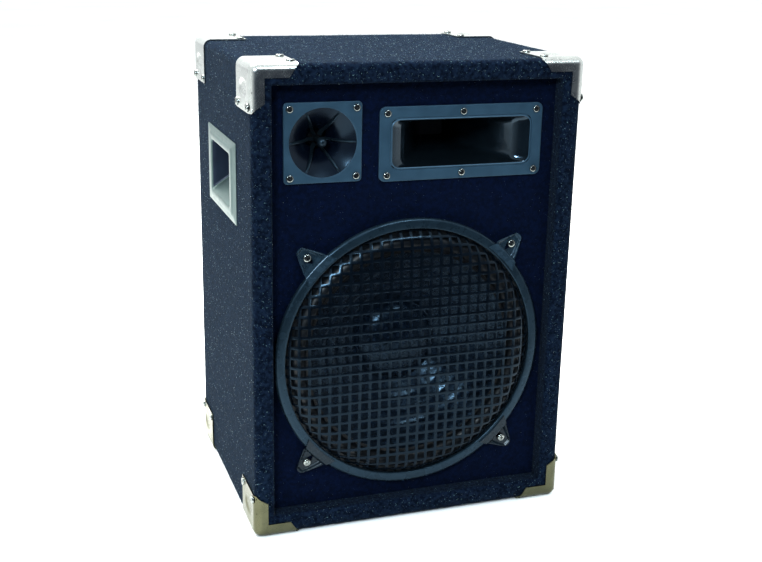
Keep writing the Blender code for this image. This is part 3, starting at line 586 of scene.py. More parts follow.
def make_carpet():
    """The carpet as one closed skin, with openings behind the handles' mouths and the terminal."""
    outer, inner = carpet_rings(0.0), carpet_rings(PILE)
    count = len(outer[0])
    points = [point for ring in outer + inner[::-1] for point in ring]
    last = 2 * len(outer) - 1
    kept, faces = set(), []
    for row in range(len(outer) - 1):
        for i in range(count):
            following = (i + 1) % count
            patch = [outer[row][i], outer[row][following], outer[row + 1][i], outer[row + 1][following]]
            if not in_handle_hole(patch):
                kept.add((row, i))

    def over(row, i):
        return row * count + i

    def below(row, i):
        return (last - row) * count + i

    for row, i in sorted(kept):
        after = (i + 1) % count
        next_row = row + 1
        faces.append((over(row, i), over(next_row, i), over(next_row, after), over(row, after)))
        faces.append((below(next_row, i), below(row, i), below(row, after), below(next_row, after)))
        if (row, after) not in kept:
            faces.append((over(row, after), over(next_row, after), below(next_row, after), below(row, after)))
        if (row, (i - 1) % count) not in kept:
            faces.append((over(row, i), below(row, i), below(next_row, i), over(next_row, i)))
        for beside, edge in ((row - 1, row), (next_row, next_row)):
            if (beside, i) not in kept:
                faces.append((over(edge, i), over(edge, after), below(edge, after), below(edge, i)))
    carpet = add_mesh("carpet_skin", points, faces, 60)
    rumple(carpet)
    return dress(carpet, "carpet", nodes=["carpet_wrap"])


def rumple(carpet):
    """Move the outer skin by a fraction of a millimetre, as carpet lies over board."""
    mesh = carpet.data
    normals = [vertex.normal.copy() for vertex in mesh.vertices]
    skin = 0.9 * MM
    moved = []
    for vertex, normal in zip(mesh.vertices, normals):
        place = vertex.co.copy()
        away = place - Vector((0.0, 0.0, WRAP_MIDDLE.z))
        if any(abs(away[axis]) > WRAP_HALF[axis] - skin for axis in range(3)):
            swell = noise.noise(place * 22) * 0.22 * MM + noise.noise(place * 90) * 0.16 * MM
            place -= normal * (0.2 * MM - swell)
        moved.extend(place)
    mesh.vertices.foreach_set("co", moved)
    mesh.update()


def surface_samples(mesh, count, seed, wanted):
    """Points and normals spread evenly over the faces that the wanted test accepts."""
    picker = random.Random(seed)
    mesh.calc_loop_triangles()
    triangles = [t for t in mesh.loop_triangles if wanted(t)]
    areas = np.cumsum([t.area for t in triangles])
    places = []
    for _ in range(count):
        index = int(np.searchsorted(areas, picker.random() * areas[-1]))
        triangle = triangles[min(index, len(triangles) - 1)]
        a, b, c = (mesh.vertices[i].co for i in triangle.vertices)
        u, v = picker.random(), picker.random()
        if u + v > 1:
            u, v = 1 - u, 1 - v
        places.append((a + (b - a) * u + (c - a) * v, triangle.normal.copy()))
    return places


def fibre_mesh(name, places, seed, length, width, lift):
    """A spike for each place: three-sided, rooted in the carpet and combed over at random."""
    picker = random.Random(seed)
    points, faces = [], []
    for place, normal in places:
        across = normal.orthogonal().normalized()
        across.rotate(Matrix.Rotation(picker.uniform(0, 2 * math.pi), 3, normal))
        side = normal.cross(across)
        reach = length * picker.uniform(0.5, 1.5)
        rise = reach * lift * picker.uniform(0.3, 1.7)
        half = width * picker.uniform(0.6, 1.4) / 2
        root = place - normal * 0.3 * MM
        first = len(points)
        points += [
            root - side * half, root + side * half, root + normal * (0.3 * MM + 1.4 * half),
            place + across * reach + normal * rise,
        ]
        faces += [
            (first, first + 1, first + 2), (first, first + 3, first + 1),
            (first + 1, first + 3, first + 2), (first + 2, first + 3, first),
        ]
    mesh = bpy.data.meshes.new(name)
    mesh.from_pydata([tuple(p) for p in points], [], faces)
    return new_object(name, mesh)


def scatter(name, mesh, count, seed, spike, look, wanted):
    """Spikes of one length, width and lift over the faces that the wanted test accepts."""
    places = surface_samples(mesh, count, seed, wanted)
    dress(fibre_mesh(name, places, seed + 2, *spike), look)


def make_fibres(carpet):
    """Loose fibres and pale lint on the carpet that shows."""
    def on_outside(triangle):
        away = triangle.center - WRAP_MIDDLE
        return max(triangle.normal[axis] * math.copysign(1, away[axis]) for axis in range(3)) > 0.3

    scatter("carpet_fibres", carpet.data, 45000, 3, (1.5 * MM, 0.16 * MM, 0.45), "fibre", on_outside)
    scatter("carpet_lint", carpet.data, 10000, 7, (0.9 * MM, 0.32 * MM, 0.3), "lint", on_outside)


def make_baffle_carpet():
    """The baffle's carpet keeps its CAD shape and gets loose fibres in front."""
    # Darker than the cabinet's carpet: partly a darker carpet, partly painted shade of the recess.
    repaint("baffle_carpet", "baffle")
    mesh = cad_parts["baffle_carpet"].data

    def on_front(triangle):
        return triangle.normal.y < -0.9

    scatter("baffle_fibres", mesh, 9000, 11, (1.2 * MM, 0.15 * MM, 0.4), "baffle", on_front)
    scatter("baffle_lint", mesh, 260, 15, (0.5 * MM, 0.35 * MM, 0.3), "lint", on_front)


# ---------------------------------------------------------------- screws

def cross_screw_mesh(name, radius, height):
    """A pan head with a cross recess, its seat at the origin and its head towards -Y."""
    profile = [(0.0, height)]
    for step, angle in enumerate(arc(5, 1)):
        reach = 0.62 + 0.38 * math.sin(angle) if step else 0.55
        profile.append((radius * reach, height * (0.45 + 0.55 * math.cos(angle))))
    shank = -1.5 * MM
    profile += [(radius, 0.0), (radius * 0.5, 0.0), (radius * 0.5, shank), (0.0, shank)]
    head = turned(name, profile, (0.0, 0.0, 0.0), 32, False)
    long, short = radius * 0.52, radius * 0.11
    depth = height * 0.62
    for number, (x, z) in enumerate(((long, short), (short, long))):
        cut(head, block(f"{name}_slot_{number}", (-x, -height - MM, -z), (x, -height + depth, z)))
    mesh = head.data
    bpy.data.objects.remove(head)
    return mesh


def place_screw(name, mesh, seat, outward, spin, nodes=()):
    """A screw whose head points along outward."""
    screw = new_object(name, mesh)
    turn = Vector((0.0, -1.0, 0.0)).rotation_difference(Vector(outward)).to_matrix().to_4x4()
    screw.matrix_world = Matrix.Translation(seat) @ turn @ Matrix.Rotation(math.radians(spin), 4, "Y")
    dress(screw, "screw", nodes=nodes)


def make_baffle_screws():
    """The horn screws and the clamp bolts, each with its cross turned its own way."""
    small = cross_screw_mesh("small_screw", 3.9 * MM, 2.3 * MM)
    large = cross_screw_mesh("large_screw", 4.6 * MM, 2.9 * MM)
    picker = random.Random(21)
    groups = (
        ("tweeter_screw", 4, small, 2.2 * MM), ("midrange_screw", 6, small, 2.2 * MM),
        ("clamp_bolt", 4, large, 2.9 * MM),
    )
    for kind, count, mesh, height in groups:
        for number in range(1, count + 1):
            node = f"{kind}_{number}"
            seat = middle(node)
            seat.y = node_box(node)[0].y + height
            place_screw(f"{node}_head", mesh, seat, (0, -1, 0), picker.uniform(0, 90), nodes=[node])


# ---------------------------------------------------------------- corner protectors

ARM = 51.0 * MM
PLATE_DEPTH = 62.0 * MM
STRIP = 15.5 * MM
STRIP_SLANT = 10.0 * MM
STEEL = 1.2 * MM
FOLD = 9.2 * MM
DIMPLE = (15.0 * MM, 8.5 * MM)
DIMPLE_DEPTH = 1.3 * MM


def sheet_grid(columns, rows, place):
    """A sheet of quads: place(column share, row share) gives each point."""
    points = [place(i / columns, j / rows) for j in range(rows + 1) for i in range(columns + 1)]
    faces = []
    for j in range(rows):
        for i in range(columns):
            first = j * (columns + 1) + i
            faces.append((first, first + 1, first + columns + 2, first + columns + 1))
    return points, faces


def folded(point):
    """Carry a point of a sharp box corner onto one with rounded folds."""
    limit = Vector((max(point[0], FOLD), max(point[1], FOLD), max(point[2], FOLD)))
    away = Vector(point) - limit
    if away.length == 0:
        return limit
    return limit + away.normalized() * FOLD


def dimpled(u, v, centre, size):
    """How deep an oval dimple is at a point of its plate."""
    radius = math.hypot((u - centre[0]) / size[0], (v - centre[1]) / size[1])
    return DIMPLE_DEPTH * eased((1.22 - radius) / 0.5)


def protector_mesh():
    """One pressed corner, its outer corner at the origin and the cabinet in +X, +Y, +Z.

    X and Z run along the front edges, Y runs back along the side and the top.
    """
    plate_middle = (31.0 * MM, 28.0 * MM)

    def side_plate(u, v):
        y, z = u * PLATE_DEPTH, v * ARM
        return folded((0.0, y, z)) + Vector((dimpled(y, z, plate_middle, DIMPLE), 0.0, 0.0))

    def level_plate(u, v):
        x, y = v * ARM, u * PLATE_DEPTH
        return folded((x, y, 0.0)) + Vector((0.0, 0.0, dimpled(y, x, plate_middle, DIMPLE)))

    def along_arm(across, share):
        """A slanted arm gets shorter towards its inner side."""
        return STRIP + share * (ARM - STRIP_SLANT * across / STRIP - STRIP)

    def corner_strip(u, v):
        return folded((u * STRIP, 0.0, v * STRIP))

    def level_arm(u, v):
        return folded((along_arm(v * STRIP, u), 0.0, v * STRIP))

    def upright_arm(u, v):
        return folded((u * STRIP, 0.0, along_arm(u * STRIP, v)))

    points, faces = [], []
    for columns, rows, place in (
        (40, 40, side_plate), (40, 40, level_plate), (16, 16, corner_strip), (24, 16, level_arm),
        (16, 24, upright_arm),
    ):
        more_points, more_faces = sheet_grid(columns, rows, place)
        faces += [tuple(i + len(points) for i in face) for face in more_faces]
        points += more_points
    sheet = add_mesh("protector", points, faces)
    weld_seams(sheet)
    thickened(sheet, STEEL, 50, even=True)
    mesh = sheet.data
    bpy.data.objects.remove(sheet)
    return mesh


def weld_seams(sheet):
    """Join the plates along their shared folds, with their normals facing out of the corner."""
    shape = bmesh.new()
    shape.from_mesh(sheet.data)
    bmesh.ops.remove_doubles(shape, verts=shape.verts, dist=0.75 * MM)
    bmesh.ops.recalc_face_normals(shape, faces=shape.faces)
    centre = Vector((ARM, PLATE_DEPTH, ARM))
    facing = sum((face.calc_center_median() - centre).dot(face.normal) for face in shape.faces)
    if facing < 0:
        bmesh.ops.reverse_faces(shape, faces=shape.faces)
    shape.to_mesh(sheet.data)
    shape.free()


def make_protectors():
    """All eight from one pressing, each turned into its own corner by mirroring."""
    pressed = protector_mesh()
    screw = cross_screw_mesh("corner_screw", 4.4 * MM, 2.2 * MM)
    picker = random.Random(31)
    screw_places = (
        ((0.0, 9.0 * MM, 45.0 * MM), (-1, 0, 0)), ((0.0, 56.0 * MM, 45.0 * MM), (-1, 0, 0)),
        ((45.0 * MM, 12.0 * MM, 0.0), (0, 0, -1)), ((45.0 * MM, 56.0 * MM, 0.0), (0, 0, -1)),
    )
    sunk = 1.9 * MM             # the bottom screws stay clear of the floor
    levels, faces = (("top", 1), ("bottom", -1)), (("front", -1), ("rear", 1))
    sides = (("left", -1), ("right", 1))
    for (level, z_sign), (face, y_sign), (side, x_sign) in itertools.product(levels, faces, sides):
        name = f"corner_{level}_{face}_{side}"
        signs = (x_sign, y_sign, z_sign)
        low, high = node_box(name)
        outer = Vector([high[k] if signs[k] > 0 else low[k] for k in range(3)])
        flip = Matrix.Diagonal([-sign for sign in signs])
        mesh = pressed.copy()
        mesh.transform(flip.to_4x4())
        if flip.determinant() < 0:
            mesh.flip_normals()
        piece = new_object(f"{name}_pressed", mesh)
        piece.location = outer
        # The bottom protectors take the darker copy of the nickel: painted shade and painted reflection.
        dress(piece, "nickel" if level == "top" else "nickel_bottom_painted_shade", nodes=[name])
        for number, (place, outward) in enumerate(screw_places, 1):
            seat = outer + flip @ Vector(place)
            aim = flip @ Vector(outward)
            if level == "bottom" and aim.z:
                seat.z += sunk
            place_screw(f"{name}_screw_{number}", screw, seat, aim, picker.uniform(0, 90))


# ---------------------------------------------------------------- horns

HORN_PLATE = 2.5 * MM
HORN_WALL = 1.8 * MM
BELL_MOUTH = 36.6 * MM
BELL_THROAT = 8.5 * MM
BELL_FLARE = 1.8
BELL_DEPTH = node_box("tweeter_horn")[1].y - HORN_FACE


def bell_radius(depth):
    left = max(0.0, 1 - depth / BELL_DEPTH)
    return BELL_THROAT + (BELL_MOUTH - BELL_THROAT) * left ** BELL_FLARE


def plate_rings(outline, centre, face_y, edge):
    """A horn plate's back, side and rounded front edge, as rings of an outline function."""
    rings = [flat_ring(outline(0.0), centre, face_y + HORN_PLATE)]
    for angle in arc(4):
        inset, y = edge * (1 - math.cos(angle)), face_y + edge * (1 - math.sin(angle))
        rings.append(flat_ring(outline(inset), centre, y))
    return rings


def make_tweeter():
    """The square plate with its flared bell, the bullet and six fins."""
    per_corner = 23
    half = half_size("tweeter_horn").x

    def outline(inset):
        return corner_points(half - inset, half - inset, 4.5 * MM - inset, per_corner)

    def circle(radius, depth):
        return flat_ring(corner_points(radius, radius, radius, per_corner), TWEETER, HORN_FACE + depth)

    lip, round_edge, raised = 0.9 * MM, 0.4 * MM, 0.35 * MM
    rings = plate_rings(outline, TWEETER, HORN_FACE, 0.8 * MM)
    rings += [
        circle(BELL_MOUTH + lip + round_edge, 0.0), circle(BELL_MOUTH + lip, -raised),
        circle(BELL_MOUTH + round_edge, -raised),
    ]
    steps = 24
    depths = [BELL_DEPTH * (i / steps) ** 1.3 for i in range(steps + 1)]
    rings += [circle(bell_radius(depth), depth) for depth in depths]
    for depth in reversed(depths):
        if depth > HORN_PLATE:
            rings.append(circle(bell_radius(depth) + HORN_WALL, depth))
    rings.append(circle(BELL_MOUTH + HORN_WALL, HORN_PLATE))
    bell = loft("tweeter_horn_plate", rings)
    dress(bell, "horn", nodes=["tweeter_horn"])
    gloss_inside(bell, "bell", TWEETER, BELL_MOUTH + 0.1 * MM, BELL_MOUTH + 0.1 * MM)
    make_phase_plug()


def gloss_inside(horn, look, centre, half_x, half_z):
    """Faces behind the mouth take the glossy finish."""
    horn.data.materials.append(MATERIALS[look])
    for face in horn.data.polygons:
        place = face.center
        inside = (
            abs(place.x - centre.x) < half_x and abs(place.z - centre.z) < half_z
            and place.y > HORN_FACE + 0.05 * MM
        )
        if inside:
            face.material_index = 1


def make_phase_plug():
    """The bullet in the bell's middle, with the fins that hold it."""
    radius, nose_length = 5.4 * MM, 6.0 * MM
    profile = [(0.0, 0.0)]
    profile += [(radius * math.sin(angle), -nose_length * (1 - math.cos(angle))) for angle in arc(10, 1)]
    profile += [(4.6 * MM, -9 * MM), (3.2 * MM, -13 * MM), (3.0 * MM, -34 * MM), (0.0, -36 * MM)]
    nose = (TWEETER.x, HORN_FACE - 0.2 * MM, TWEETER.z)
    bullet = turned("tweeter_bullet", profile, nose, 48, False)
    dress(bullet, "fin", nodes=["tweeter_phase_plug"])
    for number in range(6):
        dress(make_fin(f"tweeter_fin_{number + 1}", 60 * number), "fin")


def make_fin(name, angle):
    """A blade that stands on the bell's wall and runs in to the bullet."""
    stations = 18
    out = spoke(angle)
    across = Vector((-out.z, 0.0, out.x))
    centre = Vector((TWEETER.x, HORN_FACE, TWEETER.z))
    outer, inner = BELL_MOUTH - 0.3 * MM, 5.0 * MM
    rings = []
    for i in range(stations + 1):
        share = i / stations
        radius = outer + (inner - outer) * share
        left = max(0.0, (radius - BELL_THROAT) / (BELL_MOUTH - BELL_THROAT))
        wall = BELL_DEPTH * (1 - left ** (1 / BELL_FLARE))
        rise = 0.2 * MM + 7.0 * MM * share ** 0.6
        front = min(max(wall - rise, 0.3 * MM), 19 * MM)
        shoulder, back = front + 0.5 * MM, min(wall + 1.2 * MM, 27 * MM)
        root, blade = 1.9 * MM, (1.0 - 0.6 * share) * MM
        section = ((root, back), (blade, shoulder), (blade / 2, front))
        section += tuple((-side, depth) for side, depth in reversed(section))
        rings.append([
            centre + out * radius + across * side + Vector((0, depth, 0)) for side, depth in section
        ])
    return loft(name, rings, capped=True, sharp=60)


def make_midrange():
    """The wide horn: plate, stepped lip and a flare that narrows to the driver's throat."""
    spacing = (8, 14, 4)
    half = half_size("midrange_horn")
    depth_end = node_box("midrange_horn")[1].y - HORN_FACE
    mouth_x, mouth_z = 79.5 * MM, 25.0 * MM
    throat_x, throat_z = 14.0 * MM, 8.0 * MM
    step_in, step_depth = 8.5 * MM, 7.0 * MM

    def outline(inset):
        return corner_points(half.x - inset, half.z - inset, 7.0 * MM - inset, *spacing)

    def lip(grow, depth):
        points = corner_points(mouth_x + grow, mouth_z + grow, 8.0 * MM + grow, *spacing)
        return flat_ring(points, MIDRANGE, HORN_FACE + depth)

    def section(depth, wall=0.0):
        left = max(0.0, 1 - depth / depth_end)
        band = step_in * max(0.0, 1 - depth / step_depth)
        x = throat_x + (mouth_x - step_in - throat_x) * left ** 1.3 + band
        z = throat_z + (mouth_z - throat_z) * left ** 1.05
        radius = 3.2 * MM + 4.8 * MM * left
        points = corner_points(x + wall, z + wall, radius + wall, *spacing)
        return flat_ring(points, MIDRANGE, HORN_FACE + depth)

    rings = plate_rings(outline, MIDRANGE, HORN_FACE, 0.9 * MM)
    for grow, sink in ((3.2, 0.0), (2.9, 0.55), (2.3, 0.60), (1.9, 0.05), (1.1, -0.25), (0.3, 0.15)):
        rings.append(lip(grow * MM, sink * MM))
    steps = 26
    depths = [max(depth_end * (i / steps) ** 1.15, 0.9 * MM) for i in range(steps + 1)]
    rings += [section(depth) for depth in depths]
    rings += [section(depth, HORN_WALL) for depth in reversed(depths) if depth > 4 * MM]
    rings.append(lip(HORN_WALL + 1.6 * MM, HORN_PLATE))
    horn = loft("midrange_horn_plate", rings)
    dress(horn, "horn", nodes=["midrange_horn"])
    gloss_inside(horn, "horn_gloss", MIDRANGE, mouth_x + 0.2 * MM, mouth_z + 0.2 * MM)


# ---------------------------------------------------------------- grille

PITCH = 11.5 * MM
BAR = 3.5 * MM
BAR_CENTRE = (4.5 * MM, 194.6 * MM)     # a crossing of two bars
GRILLE_REACH = 150.5 * MM
MID_BAR_RISE = 0.35 * MM
SHEET = 1.3 * MM


def grille_point(u, v):
    """Carry a point of the flat punched sheet onto the domed one: (x, z, height)."""
    flat = math.hypot(u, v)
    rise = MOUNT_Y - node_box("grille_mesh")[0].y
    bend, crown, turn = 122 * MM, 1.2 * MM, 24 * MM
    if flat <= bend:
        return u, v, rise - crown * (flat / bend) ** 2
    angle = (flat - bend) / turn
    radius = bend + turn * math.sin(angle)
    height = rise - crown - 0.8 * turn * (1 - math.cos(angle))
    return u / flat * radius, v / flat * radius, height


def make_grille():
    """The punched sheet as one net of bars, domed, thickened and with its edges eased."""
    centre = middle("grille_mesh")
    count = int(GRILLE_REACH / PITCH) + 2

    def lines(bar_place, sheet_middle):
        """Places across the sheet, each with whether a bar follows it and whether it is mid-bar."""
        stops = []
        for k in range(-count, count + 1):
            bar = k * PITCH + (bar_place - sheet_middle) % PITCH
            stops += [(bar - BAR / 2, True, False), (bar, True, True)]
            stops += [(bar + BAR / 2 + (PITCH - BAR) * part, False, False) for part in (0, 1 / 3, 2 / 3)]
        return stops

    columns, rows = lines(BAR_CENTRE[0], centre.x), lines(BAR_CENTRE[1], centre.z)
    points, faces, known = [], [], {}

    def point(i, j):
        if (i, j) not in known:
            x, z, height = grille_point(columns[i][0], rows[j][0])
            if not (columns[i][2] or rows[j][2]):
                height -= MID_BAR_RISE
            known[(i, j)] = len(points)
            points.append((centre.x + x, MOUNT_Y - height, centre.z + z))
        return known[(i, j)]

    for i in range(len(columns) - 1):
        for j in range(len(rows) - 1):
            if not (columns[i][1] or rows[j][1]):
                continue
            corners = ((i, j), (i + 1, j), (i + 1, j + 1), (i, j + 1))
            if max(math.hypot(columns[a][0], rows[b][0]) for a, b in corners) <= GRILLE_REACH:
                faces.append(tuple(point(a, b) for a, b in corners))
    sheet = front_sheet("grille_sheet", points, faces, SHEET, 40)
    dress(sheet, "grille", nodes=["grille_mesh"])


def make_ring():
    """The trim ring: a flat front with rounded edges."""
    outer, inner = RING_RADIUS, 144.6 * MM
    front, back = MOUNT_Y - RING_FRONT, MOUNT_Y - node_box("grille_ring")[1].y
    wide, tall, small = 4.2 * MM, 3.4 * MM, 1.2 * MM
    profile = [
        (outer - wide * (1 - math.cos(angle)), front - tall * (1 - math.sin(angle))) for angle in arc(6)
    ]
    profile.append((inner + wide, front + 0.15 * MM))
    profile += [
        (inner + small * (1 - math.sin(angle)), front - small * (1 - math.cos(angle))) for angle in arc(4)
    ]
    profile += [
        (inner, back + 0.2 * MM), (inner + 0.5 * MM, back), (outer - 0.5 * MM, back),
        (outer, back + 0.5 * MM),
    ]
    ring = turned("grille_trim_ring", profile, (WOOFER.x, MOUNT_Y, WOOFER.z), 160)
    dress(ring, "ring", nodes=["grille_ring"])


CLAMP_BASE = 21.0 * MM
CLAMP_TIP = 182.0 * MM
CLAMP_TIP_RADIUS = 6.0 * MM
CLAMP_LIP = 147.5 * MM
CLAMP_STEEL = 1.3 * MM
CLAMP_SLOT = 165.5 * MM                 # how far the bolt's slot lies from the woofer's centre
CLAMP_SLOT_HALF = (3.5 * MM, 2.7 * MM)  # half its straight length, and its end radius
ROUND_PART_END = 160 * MM               # up to here the clamp's rows follow the ring


def clamp_half(radius):
    """Half the width of the clamp's triangle at a distance from the woofer's centre."""
    straight = CLAMP_BASE - (radius - 148 * MM) * 0.50
    middle_of_tip = CLAMP_TIP - CLAMP_TIP_RADIUS
    if radius > middle_of_tip:
        left = max(0.0, CLAMP_TIP_RADIUS ** 2 - (radius - middle_of_tip) ** 2)
        return min(straight, math.sqrt(left) + 0.05 * MM)
    return max(straight, CLAMP_TIP_RADIUS)


def clamp_height(radius, share):
    """Height of the clamp's face: over the ring, down a step, dished between raised edges."""
    over_ring = MOUNT_Y - RING_FRONT + 1.7 * MM
    floor = 2.4 * MM
    step = eased((radius - RING_RADIUS - 0.3 * MM) / (2.6 * MM))
    tip = min(1.0, max(0.0, (radius - CLAMP_TIP + 4.0 * MM) / (2.4 * MM)))
    rim = max(eased((abs(share) - 0.66) / 0.24), tip)
    outside = floor + rim * 4.2 * MM * (1 - 0.45 * max(0.0, (radius - ROUND_PART_END) / (22 * MM)))
    return over_ring + (outside - over_ring) * step


def make_clamps():
    for number in range(1, 5):
        make_clamp(number)


def make_clamp(number):
    """A pressed triangle that holds the ring, with a slot for its bolt."""
    node = f"grille_clamp_{number}"
    centre = Vector((WOOFER.x, MOUNT_Y, WOOFER.z))
    out = middle(f"clamp_bolt_{number}") - centre
    out.y = 0.0
    out.normalize()
    across = Vector((-out.z, 0.0, out.x))
    stations, width = 46, 26

    def place(u, v):
        radius = CLAMP_LIP + (CLAMP_TIP - CLAMP_LIP) * math.sin(math.pi / 2 * v)
        share = -1 + 2 * u
        side = clamp_half(radius) * share
        reach = math.sqrt(max(radius ** 2 - side ** 2, 0)) if radius < ROUND_PART_END else radius
        return centre + out * reach + across * side - Vector((0, clamp_height(radius, share), 0))

    def in_slot(face):
        away = sum((points[corner] for corner in face), Vector()) / len(face) - centre
        past_straight = max(0.0, abs(away.dot(out) - CLAMP_SLOT) - CLAMP_SLOT_HALF[0])
        return math.hypot(past_straight, away.dot(across)) < CLAMP_SLOT_HALF[1]

    points, faces = sheet_grid(width, stations, place)
    faces = [face for face in faces if not in_slot(face)]
    clamp = front_sheet(f"{node}_pressed", points, faces, CLAMP_STEEL, 50)
    # The lower clamps take the darker copy of the clamp paint, painted shade.
    dress(clamp, "clamp" if out.z > 0 else "clamp_low", nodes=[node])


# ---------------------------------------------------------------- woofer

CONE_EDGE = 119.5 * MM
CONE_NECK = 20.6 * MM
CONE_FRONT = 2.0 * MM
CONE_BACK = -61.0 * MM


def cone_height(radius):
    along = max(0.0, (radius - CONE_NECK) / (CONE_EDGE - CONE_NECK))
    return CONE_BACK + (CONE_FRONT - CONE_BACK) * along ** 0.92


def make_cone():
    """The paper cone with its pressed rings, and the dust cap with its glue line."""
    centre = (WOOFER.x, MOUNT_Y, WOOFER.z)
    steps = 60
    front = []
    for i in range(steps + 1):
        radius = CONE_EDGE + (CONE_NECK - CONE_EDGE) * i / steps
        ridge = 0.0
        for place in (66 * MM, 80 * MM, 94 * MM):
            ridge += 0.7 * MM * math.exp(-((radius - place) / (1.8 * MM)) ** 2)
        front.append((radius, cone_height(radius) + ridge))
    back = [(radius, height - 1.0 * MM) for radius, height in reversed(front)]
    cone = turned("woofer_cone_paper", front + back, centre, 120)
    dress(cone, "cone", MOVING, ["woofer_cone"])
    cap_radius, rise = 46 * MM, 17 * MM
    rim = cone_height(cap_radius) + 0.8 * MM
    dome = [(0.0, rim + rise)]
    dome += [(cap_radius * math.sin(angle), rim + rise * math.cos(angle)) for angle in arc(14, 1)]
    dome += [(cap_radius + 1.6 * MM, rim + 0.2 * MM), (cap_radius + 2.2 * MM, rim - 0.3 * MM)]
    under = [(max(0.0, radius - 0.8 * MM), height - 0.8 * MM) for radius, height in reversed(dome[1:])]
    cap = turned("woofer_cap_dome", dome + under + [(0.0, rim + rise - 0.8 * MM)], centre, 96, False)
    dress(cap, "cone", MOVING, ["woofer_dust_cap"])


SURROUND_SECTORS = 16


def make_surround():
    """The half roll, turned in sectors that reach from the basket to the cone."""
    thick, base = 0.8 * MM, 2.4 * MM
    roll, swell = 129.0 * MM, 8.5 * MM
    outer, inner = 150.0 * MM, 117.2 * MM

    def half_roll(size, foot):
        turns = [math.pi * step / 14 for step in range(15)]
        return [(roll + size * math.cos(turn), foot + size * math.sin(turn) * 0.95) for turn in turns]

    top = base + thick
    outside = [(outer, top), (roll + swell + 1.2 * MM, top)] + half_roll(swell, top)
    outside += [(roll - swell - 0.8 * MM, top), (inner, top)]
    inside = [(inner, base)] + half_roll(swell - thick, base)[::-1] + [(outer, base)]
    bending_sectors(
        "woofer_surround", outside + inside, SURROUND_SECTORS, "surround",
    )


def bending_sectors(node, profile, count, look):
    """A turned piece in sectors, each baked in place with its material, and the CAD node hidden."""
    centre = Vector((WOOFER.x, MOUNT_Y, WOOFER.z))
    sweep = 360 / count
    for sector in range(count):
        piece = turned(f"{node}_{sector + 1}", profile, centre, 8, True, 50, sector * sweep, sweep)
        piece.data.materials.append(MATERIALS[look])
        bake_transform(piece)
        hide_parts(node)


def make_spider():
    """The corrugated cloth disc that centres the voice coil."""
    inner, outer, thick = 20.7 * MM, 64.5 * MM, 0.6 * MM
    steps, folds = 60, 6
    front = []
    for i in range(steps + 1):
        share = i / steps
        wave = 1.5 * MM * math.cos(math.pi * folds * share)
        front.append((outer + (inner - outer) * share, -64.2 * MM + wave))
    back = [(radius, height - thick) for radius, height in reversed(front)]
    bending_sectors("woofer_spider", front + back, 12, "spider")


def make_gasket():
    low, high = node_box("woofer_gasket")
    outer, inner = (high.x - low.x) / 2, 142 * MM
    back, front = MOUNT_Y - high.y, MOUNT_Y - low.y
    profile = [
        (outer, back), (outer, front - 0.4 * MM), (outer - 0.4 * MM, front),
        (inner + 0.4 * MM, front), (inner, front - 0.4 * MM), (inner, back),
    ]
    gasket = turned("woofer_gasket_ring", profile, (WOOFER.x, MOUNT_Y, WOOFER.z), 128)
    dress(gasket, "surround", nodes=["woofer_gasket"])


# ---------------------------------------------------------------- handles

def make_handle(side, sign):
    """The recessed handle: bevelled frame, rolled lip and a cup whose floor slopes up inwards."""
    node = f"handle_{side}"
    low, high = node_box(node)
    middle_y, middle_z = (low.y + high.y) / 2, (low.z + high.z) / 2
    frame_y, frame_z = (high.y - low.y) / 2, (high.z - low.z) / 2
    outer = high.x if sign > 0 else -low.x
    face = WRAP_HALF.x + 0.1 * MM
    proud = outer - face
    mouth_y, mouth_z = 49.0 * MM, 29.0 * MM
    depth = 41.0 * MM

    def ring(half_y, half_z, radius, out, up=0.0):
        points = corner_points(half_y, half_z, radius, 5, 10, 6)
        return [(sign * (face + out), middle_y + u, middle_z + up + v) for u, v in points]

    rings = [
        ring(frame_y, frame_z, 2.5 * MM, 0.0),
        ring(frame_y, frame_z, 2.5 * MM, 0.5 * MM),
        ring(frame_y - 0.6 * MM, frame_z - 0.6 * MM, 2.5 * MM, 0.9 * MM),
        ring(mouth_y + 13 * MM, mouth_z + 9.5 * MM, 4 * MM, 1.3 * MM),
        ring(mouth_y + 11 * MM, mouth_z + 8.0 * MM, 5 * MM, proud - 0.4 * MM),
        ring(mouth_y + 10 * MM, mouth_z + 7.2 * MM, 5 * MM, proud),
        ring(mouth_y + 2.0 * MM, mouth_z + 2.0 * MM, 4 * MM, proud),
        ring(mouth_y + 0.8 * MM, mouth_z + 0.8 * MM, 4 * MM, proud - 0.5 * MM),
        ring(mouth_y, mouth_z, 4 * MM, proud - 1.8 * MM),
    ]
    deep_half_z, deep_up = 14.5 * MM, 14.0 * MM
    for step in range(1, 9):
        share = step / 8
        rings.append(ring(
            mouth_y - 4 * MM * share, mouth_z + (deep_half_z - mouth_z) * share, 4 * MM,
            proud - 1.8 * MM - depth * share, deep_up * share,
        ))
    rings.append(ring(mouth_y - 8 * MM, deep_half_z - 4 * MM, 3 * MM, proud - 2.3 * MM - depth, deep_up))
    back = -1.2 * MM
    rings.append(ring(
        mouth_y - 3 * MM, deep_half_z + 1 * MM, 4 * MM, proud - 2.3 * MM - depth + back, deep_up,
    ))
    for step in range(7, -1, -1):
        share = step / 8
        rings.append(ring(
            mouth_y - 4 * MM * share + 1.3 * MM,
            mouth_z + (deep_half_z - mouth_z) * share + 1.3 * MM, 4 * MM,
            min(proud - 1.8 * MM - depth * share + back, -1.0 * MM), deep_up * share,
        ))
    piece = loft(f"{node}_pressed", close_floor(rings, 17), sharp=32)
    dress(piece, "handle", nodes=[node])
    # Walls inside the cup that don't face up take a second slot of painted shade; its up-facing floor keeps
    # the frame's colour.
    piece.data.materials.append(MATERIALS["cup"])
    for patch in piece.data.polygons:
        inside = abs(patch.center.x) < face + proud - 3.5 * MM
        if inside and patch.normal.z < 0.45:
            patch.material_index = 1


